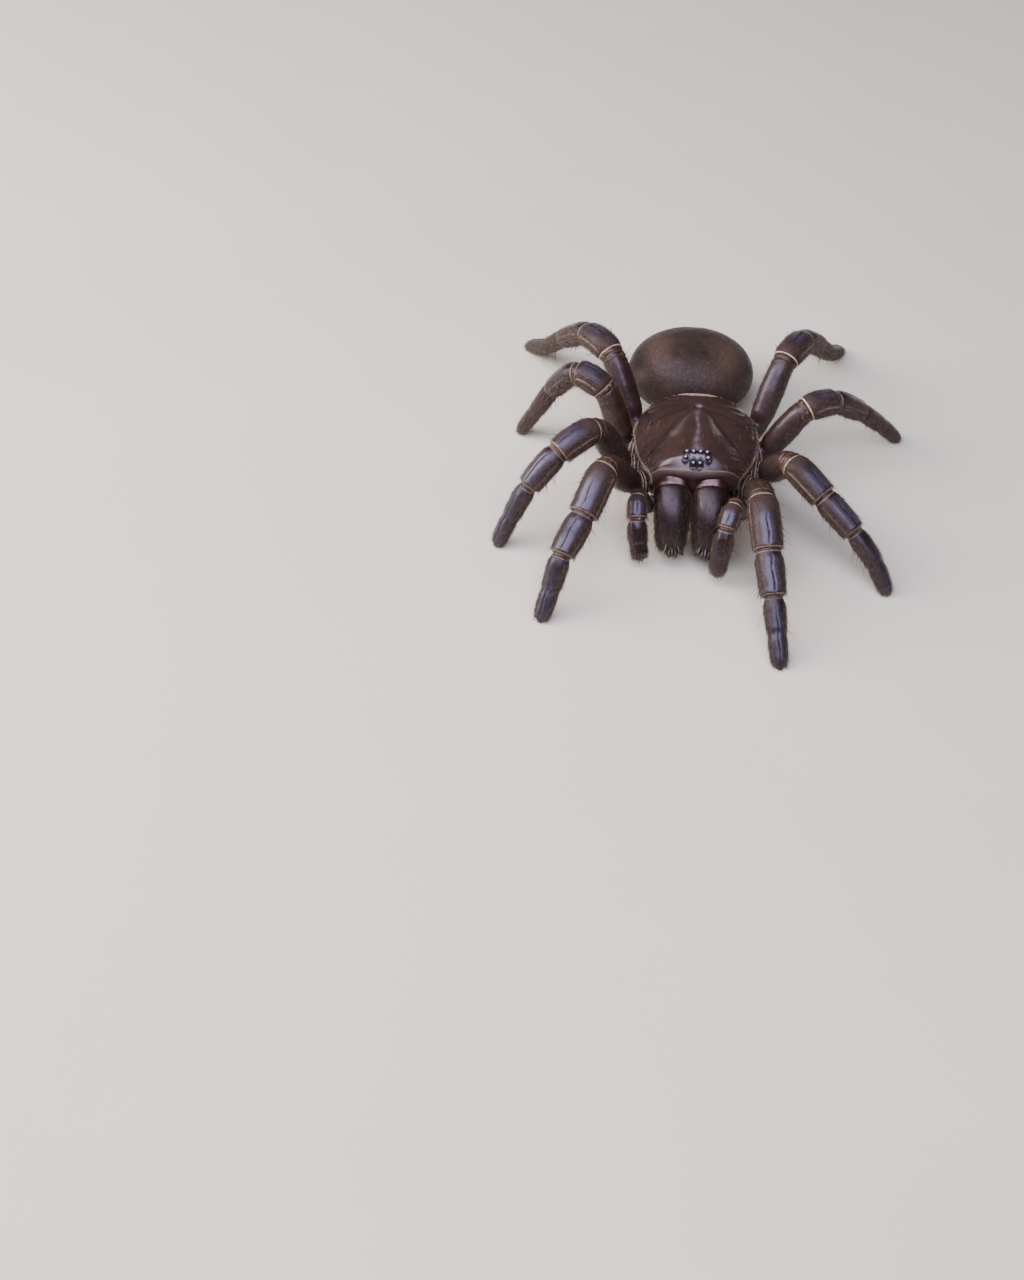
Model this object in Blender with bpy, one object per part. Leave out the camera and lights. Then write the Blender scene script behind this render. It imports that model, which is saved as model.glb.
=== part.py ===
"""Trapdoor spider, life size, standing on a floor with its knees raised and its fangs folded.

Metres, +Z up. The spider looks along -Y, its left side is at +X, and its feet rest at z = 0.
Sizes are named in millimetres. Body positions are (side, forward, up) from the middle of the
carapace's rim plane. Leg angles are in degrees: yaw from straight ahead, lift above level.
"""

import math

import bmesh
import bpy
from mathutils import Vector

MM = 0.001
GAP = 0.3                      # clearance between neighbouring pieces
CENTRE = Vector((2.2, -0.5, 0.0))  # middle of the whole stance, brought to the origin

# Carapace
RIM_HEIGHT = 13.0              # the rim plane above the floor
NOSE_UP = 3.0                  # degrees
REAR, FRONT = -18.6, 15.0      # forward positions of the carapace's two ends
WIDEST_AT = -2.4
HALF_WIDTH = 14.0
REAR_HALF_WIDTH = 5.0
FRONT_HALF_WIDTH = 9.7
FRONT_TAPER = 1.6              # over 1 keeps the sides full before they turn in
BOW_FROM = 4.0
FRONT_BOW = 2.0                # how far the front edge's corners stand behind its middle
RIM_THICKNESS = 1.0
REAR_HEIGHT = 1.0
THORAX_HEIGHT = 4.6
CLYPEUS_HEIGHT = 4.4
CLYPEUS_NOTCH = 0.35
FOVEA_AT = -9.4
FOVEA_DEPTH = 1.0
EYES_AT = 11.9
EYE_MOUND = 0.7
# Half width of the head part where it starts and where it is full: forward position, half width
HEAD_HALF_WIDTHS = ((-12.0, 2.0), (11.0, 11.5))
# Rise of the head part above the thorax: forward position, rise
HEAD_RISE = ((REAR, 0.0), (FOVEA_AT, 0.15), (-3.0, 1.9), (5.0, 2.7), (EYES_AT, 2.3),
             (FRONT, CLYPEUS_HEIGHT - THORAX_HEIGHT))

# Abdomen
ABDOMEN_MIDDLE = Vector((-1.6, 30.0, 9.5))
ABDOMEN_HALF_WIDTH = 14.6
ABDOMEN_HALF_HEIGHT = 9.0
ABDOMEN_FRONT_LENGTH = 11.2
ABDOMEN_REAR_LENGTH = 13.4
WAIST_DROP = 1.3               # the waist meets the abdomen this far below its middle

# Spinnerets: distance from the middle, drop below it, spread, length, then share and radius
SPINNERETS = {
    "spinneret": (2.1, 2.0, 0.22, 4.2, ((0.0, 1.15), (0.35, 1.2), (0.4, 1.0), (0.7, 1.05), (0.75, 0.85),
                                        (0.92, 0.65))),
    "spinneret_short": (0.75, 4.3, 0.1, 1.7, ((0.0, 0.5), (0.5, 0.5), (0.9, 0.35))),
}

# Underside
CORE_HALF_WIDTH = 6.3
CORE_HALF_LENGTH = 9.6
CORE_TOP = -RIM_THICKNESS - GAP
CORE_BOTTOM = -7.8
COXA_RADII = (2.5, 2.95, 2.85, 2.6)       # start, middle, near the end, end
PALP_COXA_RADII = (2.3, 2.45, 2.2, 1.9)
WAIST_RADII = (2.4, 2.2, 1.95, 1.8)
LIP_RADII = (2.2, 2.2, 1.9, 1.5)
WAIST_START = Vector((0.0, 5.0, 8.3))
LIP_START = Vector((0.0, -5.0, 7.4))
LIP_END = Vector((0.0, -11.2, 6.6))

# Chelicerae: forward of the carapace's front, up, half width, half height of each section
CHELICERAE_MIDDLE = -0.6       # the pair is held a little to the spider's right
CHELICERA_SIDE = 4.25
CHELICERA = ((GAP, -0.95, 3.95, 4.4), (0.95, -1.1, 4.0, 4.45), (1.9, -1.5, 4.05, 4.4),
             (3.8, -2.7, 4.0, 4.25), (5.4, -4.4, 3.85, 4.0), (6.7, -6.5, 3.55, 3.6),
             (7.5, -8.5, 3.1, 3.0), (7.9, -10.1, 2.4, 2.3))
CHELICERA_SETTLED = 0.5        # share from which its sections stand square to it, not to the face
CHELICERA_TURN_IN = 0.3        # how much nearer to the middle its lower end stands
# Fang: forward, up, radius
FANG = ((22.75, -11.0, 1.2), (22.6, -11.6, 1.2), (21.7, -12.15, 1.1), (20.2, -12.35, 0.95),
        (18.3, -12.1, 0.75), (16.5, -11.4, 0.5), (15.2, -10.5, 0.25))

# Digging spines on each jaw's lower edge: share of the jaw, angle from outside round the front
RASTELLUM = ((0.86, 72), (0.9, 96), (0.88, 121), (0.95, 84), (0.94, 109), (0.93, 135))
SPINE_LENGTH = 1.7
SPINE_RADIUS = 0.42
SPINE_SUNK = 0.7
SPINE_DOWNWARD = 1.1           # how much it leans down for each length outwards
SPINE_STATIONS = ((0.0, 1.0), (0.55, 0.85), (0.9, 0.4))

# Legs: joint lengths from femur to tarsus
LEG_LENGTHS = {
    1: (18.4, 12.3, 10.2, 7.9, 7.2),
    2: (16.0, 10.8, 10.1, 7.3, 8.6),
    3: (14.5, 8.0, 9.9, 9.6, 8.8),
    4: (17.0, 10.0, 12.0, 11.3, 9.0),
}
# Outer end of each trochanter, for the left side
LEG_ROOTS = {
    1: Vector((13.6, -9.3, 9.5)),
    2: Vector((15.9, -2.6, 8.8)),
    3: Vector((15.9, 5.0, 8.5)),
    4: Vector((13.9, 13.0, 8.3)),
}
COXA_STARTS = {
    1: Vector((4.2, -5.6, 8.6)),
    2: Vector((4.6, -1.6, 8.4)),
    3: Vector((4.6, 2.8, 8.0)),
    4: Vector((3.8, 6.8, 7.6)),
}
# side, pair: yaw of the femur, further turn at the knee, lifts of femur to metatarsus
LEG_POSES = {
    ("right", 1): (31, -5, (51, -37, -22, -58)),
    ("left", 1): (2, 8, (39, -32, -30, -36)),
    ("right", 2): (62, -9, (64, -15, -40, -57)),
    ("left", 2): (25, 26, (50, -25, -28, -36)),
    ("right", 3): (126, -13, (66, 20, -52, -64)),
    ("left", 3): (100, 22, (57, -5, -38, -46)),
    ("right", 4): (146, -4, (51, -4, -40, -46)),
    ("left", 4): (150, 3, (51, -6, -40, -46)),
}
LEG_THICKNESS = {1: 1.04, 2: 1.0, 3: 0.97, 4: 1.0}
KNEE_BEND = 4.4                # how far from a corner its rounding starts
TROCHANTER = 3.6               # from the coxa's end to the femur's root
TIP_HEIGHT = 0.3               # the middle of a foot's last ring above the floor
SIDES = 12

# A segment's stations: share of its length, half width, half height
FEMUR = ((0.0, 2.25, 2.35), (0.1, 2.35, 2.4), (0.2, 2.15, 2.2), (0.38, 2.6, 2.8),
         (0.62, 2.75, 3.0), (0.85, 2.6, 2.8), (1.0, 2.5, 2.6))
PATELLA = ((0.0, 2.95, 2.6), (0.18, 3.15, 2.95), (0.5, 3.2, 3.0), (0.85, 3.15, 2.85),
           (1.0, 3.0, 2.65))
TIBIA = ((0.0, 2.55, 2.45), (0.2, 2.85, 2.65), (0.6, 2.8, 2.6), (0.88, 2.6, 2.45),
         (1.0, 2.35, 2.25))
FOOT = ((0.0, 2.0, 1.95), (0.12, 2.2, 2.05), (0.42, 2.05, 1.95), (0.5, 1.75, 1.65),
        (0.62, 1.9, 1.8), (0.85, 1.75, 1.6), (0.94, 1.35, 1.25), (1.0, 0.75, 0.7))

# Palps: corners from the femur's root to the tip, for each side
PALP_COXA_START = Vector((2.6, -7.4, 7.4))
PALP_TROCHANTER = 2.8
PALP_CORNERS = {
    "right": (Vector((-10.3, -13.3, 6.6)), Vector((-12.4, -16.7, 13.5)), Vector((-12.3, -21.8, 10.6)),
              Vector((-11.8, -24.2, 6.4)), Vector((-11.0, -26.2, 2.4))),
    "left": (Vector((11.1, -14.0, 6.8)), Vector((8.7, -21.6, 16.6)), Vector((7.0, -26.6, 13.4)),
             Vector((6.2, -29.2, 8.0)), Vector((5.6, -30.5, 3.0))),
}
PALP_FEMUR = ((0.0, 1.6, 1.65), (0.2, 1.7, 1.75), (0.32, 1.6, 1.65), (0.65, 1.85, 1.9), (1.0, 1.8, 1.65))
PALP_PATELLA = ((0.0, 1.85, 1.7), (0.4, 2.2, 2.0), (1.0, 2.05, 1.95))
PALP_TIP = ((0.0, 1.85, 1.8), (0.2, 2.1, 2.0), (0.48, 2.0, 1.9), (0.56, 1.8, 1.75), (0.8, 1.9, 1.8),
            (0.93, 1.45, 1.4), (1.0, 0.75, 0.75))
PALP_BEND = 3.0

# Eyes: side, forward of the group's middle, radius; each is mirrored
EYES = {
    "front_middle": (0.72, 1.5, 0.55),
    "front_side": (2.45, 0.7, 0.6),
    "rear_middle": (0.76, -0.75, 0.58),
    "rear_side": (2.2, -0.8, 0.58),
}
EYE_SOCKET_GAP = 0.34

COLOURS = {
    "carapace": ((0.075, 0.035, 0.025), 0.3),
    "abdomen": ((0.07, 0.052, 0.042), 0.5),
    "leg": ((0.06, 0.03, 0.03), 0.35),
    "chelicera": ((0.07, 0.035, 0.04), 0.4),
    "fang": ((0.015, 0.008, 0.007), 0.2),
    "eye": ((0.01, 0.01, 0.012), 0.08),
}


def material(name):
    """One plain material for each kind of surface."""
    found = bpy.data.materials.get(name)
    if found:
        return found
    colour, roughness = COLOURS[name]
    made = bpy.data.materials.new(name)
    made.use_nodes = True
    shader = made.node_tree.nodes["Principled BSDF"]
    shader.inputs["Base Color"].default_value = (*colour, 1.0)
    shader.inputs["Roughness"].default_value = roughness
    made.diffuse_color = (*colour, 1.0)
    return made


def add_piece(name, surface, mesh_maker):
    """A new named object whose closed body mesh_maker draws, in millimetres, in a bmesh."""
    bm = bmesh.new()
    mesh_maker(bm)
    bmesh.ops.recalc_face_normals(bm, faces=bm.faces)
    for vertex in bm.verts:
        vertex.co = (vertex.co - CENTRE) * MM
    mesh = bpy.data.meshes.new(name)
    bm.to_mesh(mesh)
    bm.free()
    mesh.shade_smooth()
    mesh.materials.append(material(surface))
    piece = bpy.data.objects.new(name, mesh)
    bpy.data.collections["trapdoor_spider"].objects.link(piece)
    return piece


def smooth(a, b, x):
    """0 below a, 1 above b, with a soft turn at both."""
    t = min(max((x - a) / (b - a), 0.0), 1.0)
    return t * t * (3 - 2 * t)


def between(stations, u):
    """Values of a row of stations at share u, eased from one station to the next."""
    for before, after in zip(stations, stations[1:]):
        if u <= after[0]:
            break
    t = smooth(before[0], after[0], u)
    return [p + (q - p) * t for p, q in zip(before[1:], after[1:])]


def body_point(side, forward, up):
    """From the carapace's own axes to the floor's."""
    tilt = math.radians(NOSE_UP)
    return Vector((
        side,
        -forward * math.cos(tilt) + up * math.sin(tilt),
        RIM_HEIGHT + forward * math.sin(tilt) + up * math.cos(tilt),
    ))


def loft(bm, rings, start_pole=None, end_pole=None, strips=False):
    """Skins rings of points, and closes each end with a flat cap, with a point or with strips across it."""
    rows = [[bm.verts.new(point) for point in ring] for ring in rings]
    count = len(rows[0])
    for low, high in zip(rows, rows[1:]):
        for i in range(count):
            j = (i + 1) % count
            bm.faces.new((low[i], low[j], high[j], high[i]))
    for row, pole in ((rows[0], start_pole), (rows[-1], end_pole)):
        if strips:
            for i in range(count // 2 - 1):
                bm.faces.new((row[i], row[i + 1], row[-i - 2], row[-i - 1]))
            continue
        if pole is None:
            bm.faces.new(row)
            continue
        tip = bm.verts.new(pole)
        for i in range(count):
            bm.faces.new((row[i], row[(i + 1) % count], tip))


def ring(centre, side, up, half_width, half_height, sides=SIDES, squareness=2.2):
    """A rounded section, a little squarer than an ellipse."""
    points = []
    for k in range(sides):
        angle = 2 * math.pi * (k + 0.5) / sides
        c, s = math.cos(angle), math.sin(angle)
        power = 2 / squareness
        x = math.copysign(abs(c) ** power, c) * half_width
        y = math.copysign(abs(s) ** power, s) * half_height
        points.append(centre + side * x + up * y)
    return points


def direction(side, yaw, lift):
    """A unit vector; side is -1 or 1, and yaw 0 is straight ahead."""
    y, e = math.radians(yaw), math.radians(lift)
    return Vector((side * math.sin(y) * math.cos(e), -math.cos(y) * math.cos(e), math.sin(e)))


def corner_curve(before, corner, after, bend, low, high, steps):
    """Points and directions on the rounding of one corner, from share low to share high of it."""
    bend = min(bend, 0.48 * (before - corner).length, 0.48 * (after - corner).length)
    a = corner + (before - corner).normalized() * bend
    b = corner + (after - corner).normalized() * bend
    samples = []
    for k in range(steps + 1):
        t = low + (high - low) * k / steps
        point = a * (1 - t) ** 2 + corner * (2 * t * (1 - t)) + b * t * t
        tangent = ((corner - a) * (1 - t) + (b - corner) * t).normalized()
        samples.append((point, tangent))
    return samples


def centre_line(corners, first, last, bend, steps=2):
    """Samples of the rounded line between the middles of two joints, trimmed for the gap."""
    samples = []
    if first == 0:
        samples.append((corners[0].copy(), (corners[1] - corners[0]).normalized()))
    else:
        samples += corner_curve(*corners[first - 1:first + 2], bend, 0.5, 1.0, steps)
    for k in range(first + 1, last):
        samples += corner_curve(*corners[k - 1:k + 2], bend, 0.0, 1.0, 2 * steps)
    if last == len(corners) - 1:
        samples.append((corners[-1].copy(), (corners[-1] - corners[-2]).normalized()))
    else:
        samples += corner_curve(*corners[last - 1:last + 2], bend, 0.0, 0.5, steps)
    start, along = samples[0]
    samples[0] = (start + along * GAP / 2, along)
    if last < len(corners) - 1:
        end, along = samples[-1]
        samples[-1] = (end - along * GAP / 2, along)
    return samples


def segment_rings(samples, stations, thickness, longest=3.0):
    """Sections along a line, with more of them where a straight run is long."""
    lengths = [0.0]
    for (p, _), (q, _) in zip(samples, samples[1:]):
        lengths.append(lengths[-1] + (q - p).length)
    total = lengths[-1]
    rings = []
    for k, (point, tangent) in enumerate(samples):
        places = [(point, tangent, lengths[k])]
        if k + 1 < len(samples):
            following = samples[k + 1]
            pieces = max(1, math.ceil((lengths[k + 1] - lengths[k]) / longest))
            for j in range(1, pieces):
                share = j / pieces
                places.append((
                    point.lerp(following[0], share),
                    tangent.lerp(following[1], share).normalized(),
                    lengths[k] + (lengths[k + 1] - lengths[k]) * share,
                ))
        for place, along, length in places:
            half_width, half_height = between(stations, length / total)
            side = along.cross(Vector((0, 0, 1))).normalized()
            up = side.cross(along)
            rings.append(ring(place, side, up, half_width * thickness, half_height * thickness))
    return rings


def limb_piece(name, surface, corners, first, last, bend, stations, thickness=1.0, on_floor=False):
    """One segment, or two, of a leg or palp."""
    rings = segment_rings(centre_line(corners, first, last, bend), stations, thickness)
    pole = None
    if last == len(corners) - 1:
        pole = corners[-1] + (corners[-1] - corners[-2]).normalized() * 0.35

    def draw(bm):
        loft(bm, rings, end_pole=pole)
        if on_floor:
            for vertex in bm.verts:
                vertex.co.z = max(vertex.co.z, 0.0)

    return add_piece(name, surface, draw)


def leg_corners(side_name, pair):
    """Corners of a leg's middle line, from the coxa's end to the foot's tip."""
    side = 1 if side_name == "left" else -1
    mirror = Vector((side, 1, 1))
    root = LEG_ROOTS[pair] * mirror
    inward = (COXA_STARTS[pair] * mirror - root).normalized()
    yaw, turn, lifts = LEG_POSES[side_name, pair]
    lengths = LEG_LENGTHS[pair]
    corners = [root + inward * TROCHANTER, root]
    for k, (lift, length) in enumerate(zip(lifts, lengths)):
        turned = yaw + (turn if k else 0)
        corners.append(corners[-1] + direction(side, turned, lift) * length)
    drop = corners[-1].z - TIP_HEIGHT
    last_lift = -math.degrees(math.asin(drop / lengths[-1]))
    corners.append(corners[-1] + direction(side, yaw + turn, last_lift) * lengths[-1])
    return corners


def make_leg(side_name, pair):
    corners = leg_corners(side_name, pair)
    thickness = LEG_THICKNESS[pair]
    start = f"leg_{pair}_{side_name}"
    limb_piece(f"{start}_femur", "leg", corners, 0, 2, KNEE_BEND, FEMUR, thickness)
    limb_piece(f"{start}_patella", "leg", corners, 2, 3, KNEE_BEND, PATELLA, thickness)
    limb_piece(f"{start}_tibia", "leg", corners, 3, 4, KNEE_BEND, TIBIA, thickness)
    limb_piece(f"{start}_foot", "leg", corners, 4, 6, KNEE_BEND * 0.8, FOOT, thickness, on_floor=True)


def palp_corners(side_name):
    """Corners of a palp's middle line, from its coxa's end to its tip."""
    side = 1 if side_name == "left" else -1
    root, *others = PALP_CORNERS[side_name]
    inward = (PALP_COXA_START * Vector((side, 1, 1)) - root).normalized()
    return [root + inward * PALP_TROCHANTER, root, *others]


def make_palp(side_name):
    corners = palp_corners(side_name)
    start = f"palp_{side_name}"
    limb_piece(f"{start}_femur", "leg", corners, 0, 2, PALP_BEND, PALP_FEMUR)
    limb_piece(f"{start}_patella", "leg", corners, 2, 3, PALP_BEND, PALP_PATELLA)
    limb_piece(f"{start}_tip", "leg", corners, 3, 5, PALP_BEND, PALP_TIP)


def carapace_half_width(forward):
    """Half the carapace's width: an ellipse behind its widest place, a slow taper before it."""
    if forward < WIDEST_AT:
        reach = WIDEST_AT - REAR
        half_length = reach / math.sqrt(1 - (REAR_HALF_WIDTH / HALF_WIDTH) ** 2)
        return HALF_WIDTH * math.sqrt(1 - ((WIDEST_AT - forward) / half_length) ** 2)
    share = (forward - WIDEST_AT) / (FRONT - WIDEST_AT)
    return HALF_WIDTH - (HALF_WIDTH - FRONT_HALF_WIDTH) * share ** FRONT_TAPER


def carapace_height(side, forward):
    """Height of the carapace's top above its rim plane."""
    across = min(abs(side) / carapace_half_width(forward), 1.0)
    rounded = (1 - across ** 2.4) ** 0.62
    height = REAR_HEIGHT + (THORAX_HEIGHT - REAR_HEIGHT) * smooth(REAR - 2.0, FOVEA_AT, forward)
    head_half = between(HEAD_HALF_WIDTHS, forward)[0]
    head = between(HEAD_RISE, forward)[0] * (1 - smooth(0.25, 1.0, abs(side) / head_half))
    squarer = CLYPEUS_HEIGHT * smooth(2.0, FRONT, forward) * ((1 - across ** 4.0) ** 0.5 - rounded)
    fovea = FOVEA_DEPTH * math.exp(-(side / 1.7) ** 2 - (forward - FOVEA_AT - 0.1 * side * side) ** 2)
    mound = EYE_MOUND * math.exp(-(side / 3.0) ** 4 - ((forward - EYES_AT) / 2.1) ** 4)
    notch = CLYPEUS_NOTCH * math.exp(-(side / 1.2) ** 2) * smooth(FRONT - 2.5, FRONT, forward)
    return height * rounded + head + squarer - fovea + mound - notch


def carapace_point(side, forward, up):
    """A point of the carapace, whose front edge is bowed back towards its corners."""
    across = side / carapace_half_width(forward)
    back = FRONT_BOW * across ** 2 * smooth(BOW_FROM, FRONT, forward)
    return body_point(side, forward - back, up)


def make_carapace():
    """The shield over the legs' bases, with its raised head part, eye mound and pit."""
    stations = 25
    across = 23

    def draw(bm):
        rings = []
        for k in range(stations):
            share = k / (stations - 1)
            forward = REAR + (FRONT - REAR) * share
            half_width = carapace_half_width(forward)
            if k in (0, stations - 1):
                half_width -= 0.25
            sides = [half_width * math.cos(math.pi * j / (across - 1)) for j in range(across)]
            under = [carapace_point(side, forward, -RIM_THICKNESS) for side in sides]
            top = [carapace_point(side, forward, carapace_height(side, forward))
                   for side in reversed(sides)]
            rings.append(under + top)
        loft(bm, rings, strips=True)

    carapace = add_piece("carapace", "carapace", draw)
    cut_eye_sockets(carapace)


def eye_places():
    """Name, middle and radius of each eye, sunk a little into the eye mound."""
    for name, (side, ahead, radius) in EYES.items():
        forward = EYES_AT + ahead
        up = carapace_height(side, forward) + radius * 0.2
        for side_name, sign in (("left", 1), ("right", -1)):
            yield f"eye_{name}_{side_name}", carapace_point(sign * side, forward, up), radius


def ball(bm, middle, radius, segments, rows):
    made = bmesh.ops.create_uvsphere(bm, u_segments=segments, v_segments=rows, radius=radius)
    bmesh.ops.translate(bm, verts=made["verts"], vec=middle)


def add_helper(collection, name, surface, mesh_maker):
    """A body that a Boolean uses up, kept out of the spider's own collection."""
    piece = add_piece(name, surface, mesh_maker)
    bpy.data.collections["trapdoor_spider"].objects.unlink(piece)
    collection.objects.link(piece)


def cut_eye_sockets(carapace):
    """Each eye sits in its own pit, with the gap round it."""
    cutters = bpy.data.collections.new("socket_cutters")
    for name, middle, radius in eye_places():
        add_helper(cutters, f"{name}_socket", "eye",
                   lambda bm, m=middle, r=radius: ball(bm, m, r + EYE_SOCKET_GAP, 10, 6))
    join_all(carapace, cutters, "DIFFERENCE")


def join_all(piece, collection, operation="UNION"):
    """Applies one Boolean with all of a collection, then keeps the largest closed surface."""
    bpy.context.scene.collection.children.link(collection)
    boolean = piece.modifiers.new("join", "BOOLEAN")
    boolean.operation = operation
    boolean.operand_type = "COLLECTION"
    boolean.collection = collection
    boolean.solver = "EXACT"
    bpy.context.view_layer.update()
    graph = bpy.context.evaluated_depsgraph_get()
    joined = bpy.data.meshes.new_from_object(piece.evaluated_get(graph))
    piece.modifiers.clear()
    piece.data = joined
    for other in list(collection.objects):
        bpy.data.objects.remove(other)
    bpy.data.collections.remove(collection)
    keep_largest(piece.data)
    piece.data.shade_smooth()


def keep_largest(mesh):
    """Drops any loose scrap or sealed hollow that a Boolean leaves."""
    bm = bmesh.new()
    bm.from_mesh(mesh)
    unseen = set(bm.verts)
    groups = []
    while unseen:
        group, front = set(), [unseen.pop()]
        while front:
            vertex = front.pop()
            group.add(vertex)
            for edge in vertex.link_edges:
                other = edge.other_vert(vertex)
                if other in unseen:
                    unseen.discard(other)
                    front.append(other)
        groups.append(group)
    groups.sort(key=len)
    for group in groups[:-1]:
        bmesh.ops.delete(bm, geom=list(group), context="VERTS")
    bm.to_mesh(mesh)
    bm.free()


def make_eyes():
    for name, middle, radius in eye_places():
        add_piece(name, "eye", lambda bm, m=middle, r=radius: ball(bm, m, r, 8, 6))


def make_underside():
    """The breastplate with its lip, the legs' coxae and the waist, as one body."""
    def draw_core(bm):
        levels = ((CORE_BOTTOM, 0.55), (CORE_BOTTOM + 0.25, 0.78), (CORE_BOTTOM + 1.0, 0.93),
                  (CORE_BOTTOM + 2.2, 1.0), (CORE_TOP, 1.0))
        rings = []
        for up, share in levels:
            points = []
            for k in range(24):
                angle = 2 * math.pi * k / 24
                taper = 1 - 0.16 * math.sin(angle)
                points.append(body_point(CORE_HALF_WIDTH * share * math.cos(angle) * taper,
                                         CORE_HALF_LENGTH * share * math.sin(angle), up))
            rings.append(points)
        loft(bm, rings)

    sternum = add_piece("sternum", "leg", draw_core)
    extras = bpy.data.collections.new("underside_pieces")
    for side_name, sign in (("left", 1), ("right", -1)):
        mirror = Vector((sign, 1, 1))
        for pair in LEG_ROOTS:
            start, end = COXA_STARTS[pair] * mirror, leg_corners(side_name, pair)[0]
            add_stub(extras, f"coxa_{pair}_{side_name}", start, end, COXA_RADII)
        end = palp_corners(side_name)[0]
        add_stub(extras, f"coxa_palp_{side_name}", PALP_COXA_START * mirror, end, PALP_COXA_RADII)
    waist_end = ABDOMEN_MIDDLE - Vector((0, ABDOMEN_FRONT_LENGTH + GAP, WAIST_DROP))
    add_stub(extras, "waist", WAIST_START, waist_end, WAIST_RADII)
    add_stub(extras, "lip", LIP_START, LIP_END, LIP_RADII)
    join_all(sternum, extras)


def add_stub(collection, name, start, end, radii):
    """A rounded stub of four sections that ends half a gap short of its end point."""
    along = (end - start).normalized()
    side = along.cross(Vector((0, 0, 1))).normalized()
    up = side.cross(along)
    length = (end - start).length - GAP / 2
    shares = (0.0, 0.5, 0.85, 1.0)
    rings = [ring(start + along * length * u, side, up, r, r, 14) for u, r in zip(shares, radii)]
    add_helper(collection, name, "leg", lambda bm: loft(bm, rings))


def abdomen_point(around, along):
    """A point of the abdomen's skin: along runs 0 to pi from front to rear, around about it."""
    length = ABDOMEN_FRONT_LENGTH if along < math.pi / 2 else ABDOMEN_REAR_LENGTH
    back = -math.cos(along)
    thick = math.sin(along) ** (0.94 if back > 0 else 1.0)
    crown = 1.0 + 0.05 * math.sin(around)
    side = ABDOMEN_HALF_WIDTH * thick * math.cos(around) * crown
    up = ABDOMEN_HALF_HEIGHT * thick * math.sin(around)
    return ABDOMEN_MIDDLE + Vector((side, back * length, up))


def make_abdomen():
    around, along = 24, 17

    def draw(bm):
        rings = [[abdomen_point(2 * math.pi * j / around, math.pi * k / along) for j in range(around)]
                 for k in range(1, along)]
        loft(bm, rings, abdomen_point(0.0, 0.0), abdomen_point(0.0, math.pi))

    add_piece("abdomen", "abdomen", draw)


def make_spinnerets():
    """Two long hind spinnerets of three joints, and two short ones below and between them."""
    for name, (side_place, drop, spread, length, shares) in SPINNERETS.items():
        for side_name, sign in (("left", 1), ("right", -1)):
            base = ABDOMEN_MIDDLE + Vector((sign * side_place, ABDOMEN_REAR_LENGTH + 0.4, -drop))
            along = Vector((sign * spread, 1.0, 0.12)).normalized()
            side = along.cross(Vector((0, 0, 1))).normalized()
            up = side.cross(along)
            rings = [ring(base + along * length * u, side, up, r, r, 10) for u, r in shares]
            tip = base + along * (length + 0.1)
            add_piece(f"{name}_{side_name}", "abdomen", lambda bm, r=rings, t=tip: loft(bm, r, end_pole=t))


def chelicera_section(sign, share):
    """Middle, raised direction, half width and half height of a jaw's section, share 0 at the face."""
    place = share * (len(CHELICERA) - 1)
    k = min(int(place), len(CHELICERA) - 2)
    t = place - k
    sections = []
    for i in (k, k + 1):
        before = CHELICERA[max(i - 1, 0)]
        after = CHELICERA[min(i + 1, len(CHELICERA) - 1)]
        ahead = after[0] - before[0]
        rise = (after[1] - before[1]) * smooth(0.0, CHELICERA_SETTLED, i / (len(CHELICERA) - 1))
        raised = body_point(0, -rise, ahead) - body_point(0, 0, 0)
        forward, up, half_width, half_height = CHELICERA[i]
        side = CHELICERAE_MIDDLE + sign * (CHELICERA_SIDE - CHELICERA_TURN_IN * i / (len(CHELICERA) - 1))
        middle = body_point(side, FRONT + forward, up)
        sections.append((middle, raised.normalized(), half_width, half_height))
    (p, raised_p, *sizes_p), (q, raised_q, *sizes_q) = sections
    return (p.lerp(q, t), raised_p.lerp(raised_q, t).normalized(),
            *(m + (n - m) * t for m, n in zip(sizes_p, sizes_q)))


def make_chelicerae():
    """The two jaws: deep, side by side, bowed forwards and down, with digging spines below."""
    for side_name, sign in (("left", 1), ("right", -1)):
        rings = []
        for k in range(len(CHELICERA)):
            middle, raised, half_width, half_height = chelicera_section(sign, k / (len(CHELICERA) - 1))
            rings.append(ring(middle, Vector((1, 0, 0)), raised, half_width, half_height, 16, 2.4))
        ahead = body_point(0, 1, 0) - body_point(0, 0, 0)
        rings[0] = [point - ahead * FRONT_BOW * (point.x / FRONT_HALF_WIDTH) ** 2 for point in rings[0]]
        chelicera = add_piece(f"chelicera_{side_name}", "chelicera",
                              lambda bm, r=rings: loft(bm, r, strips=True))
        add_rastellum(chelicera, sign)
        make_fang(side_name, sign)


def add_rastellum(chelicera, sign):
    """Stout spines along the jaw's lower front edge, sunk into it and joined to it."""
    spines = bpy.data.collections.new(f"{chelicera.name}_spines")
    for number, (share, angle) in enumerate(RASTELLUM):
        middle, raised, half_width, half_height = chelicera_section(sign, share)
        turn = math.radians(angle)
        aside, above = Vector((sign, 0, 0)) * math.cos(turn), raised * math.sin(turn)
        outward = (aside + above).normalized()
        surface = middle + aside * half_width + above * half_height
        down = raised.cross(Vector((-1, 0, 0)))
        along = (outward + down * SPINE_DOWNWARD).normalized()
        side = along.cross(Vector((1, 0, 0))).normalized()
        up = side.cross(along)
        base = surface - along * SPINE_SUNK
        whole = SPINE_LENGTH + SPINE_SUNK
        rings = [ring(base + along * whole * u, side, up, SPINE_RADIUS * r, SPINE_RADIUS * r, 6, 2.0)
                 for u, r in SPINE_STATIONS]
        add_helper(spines, f"spine_{number}", "fang",
                   lambda bm, r=rings, tip=base + along * whole: loft(bm, r, end_pole=tip))
    join_all(chelicera, spines)


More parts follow.
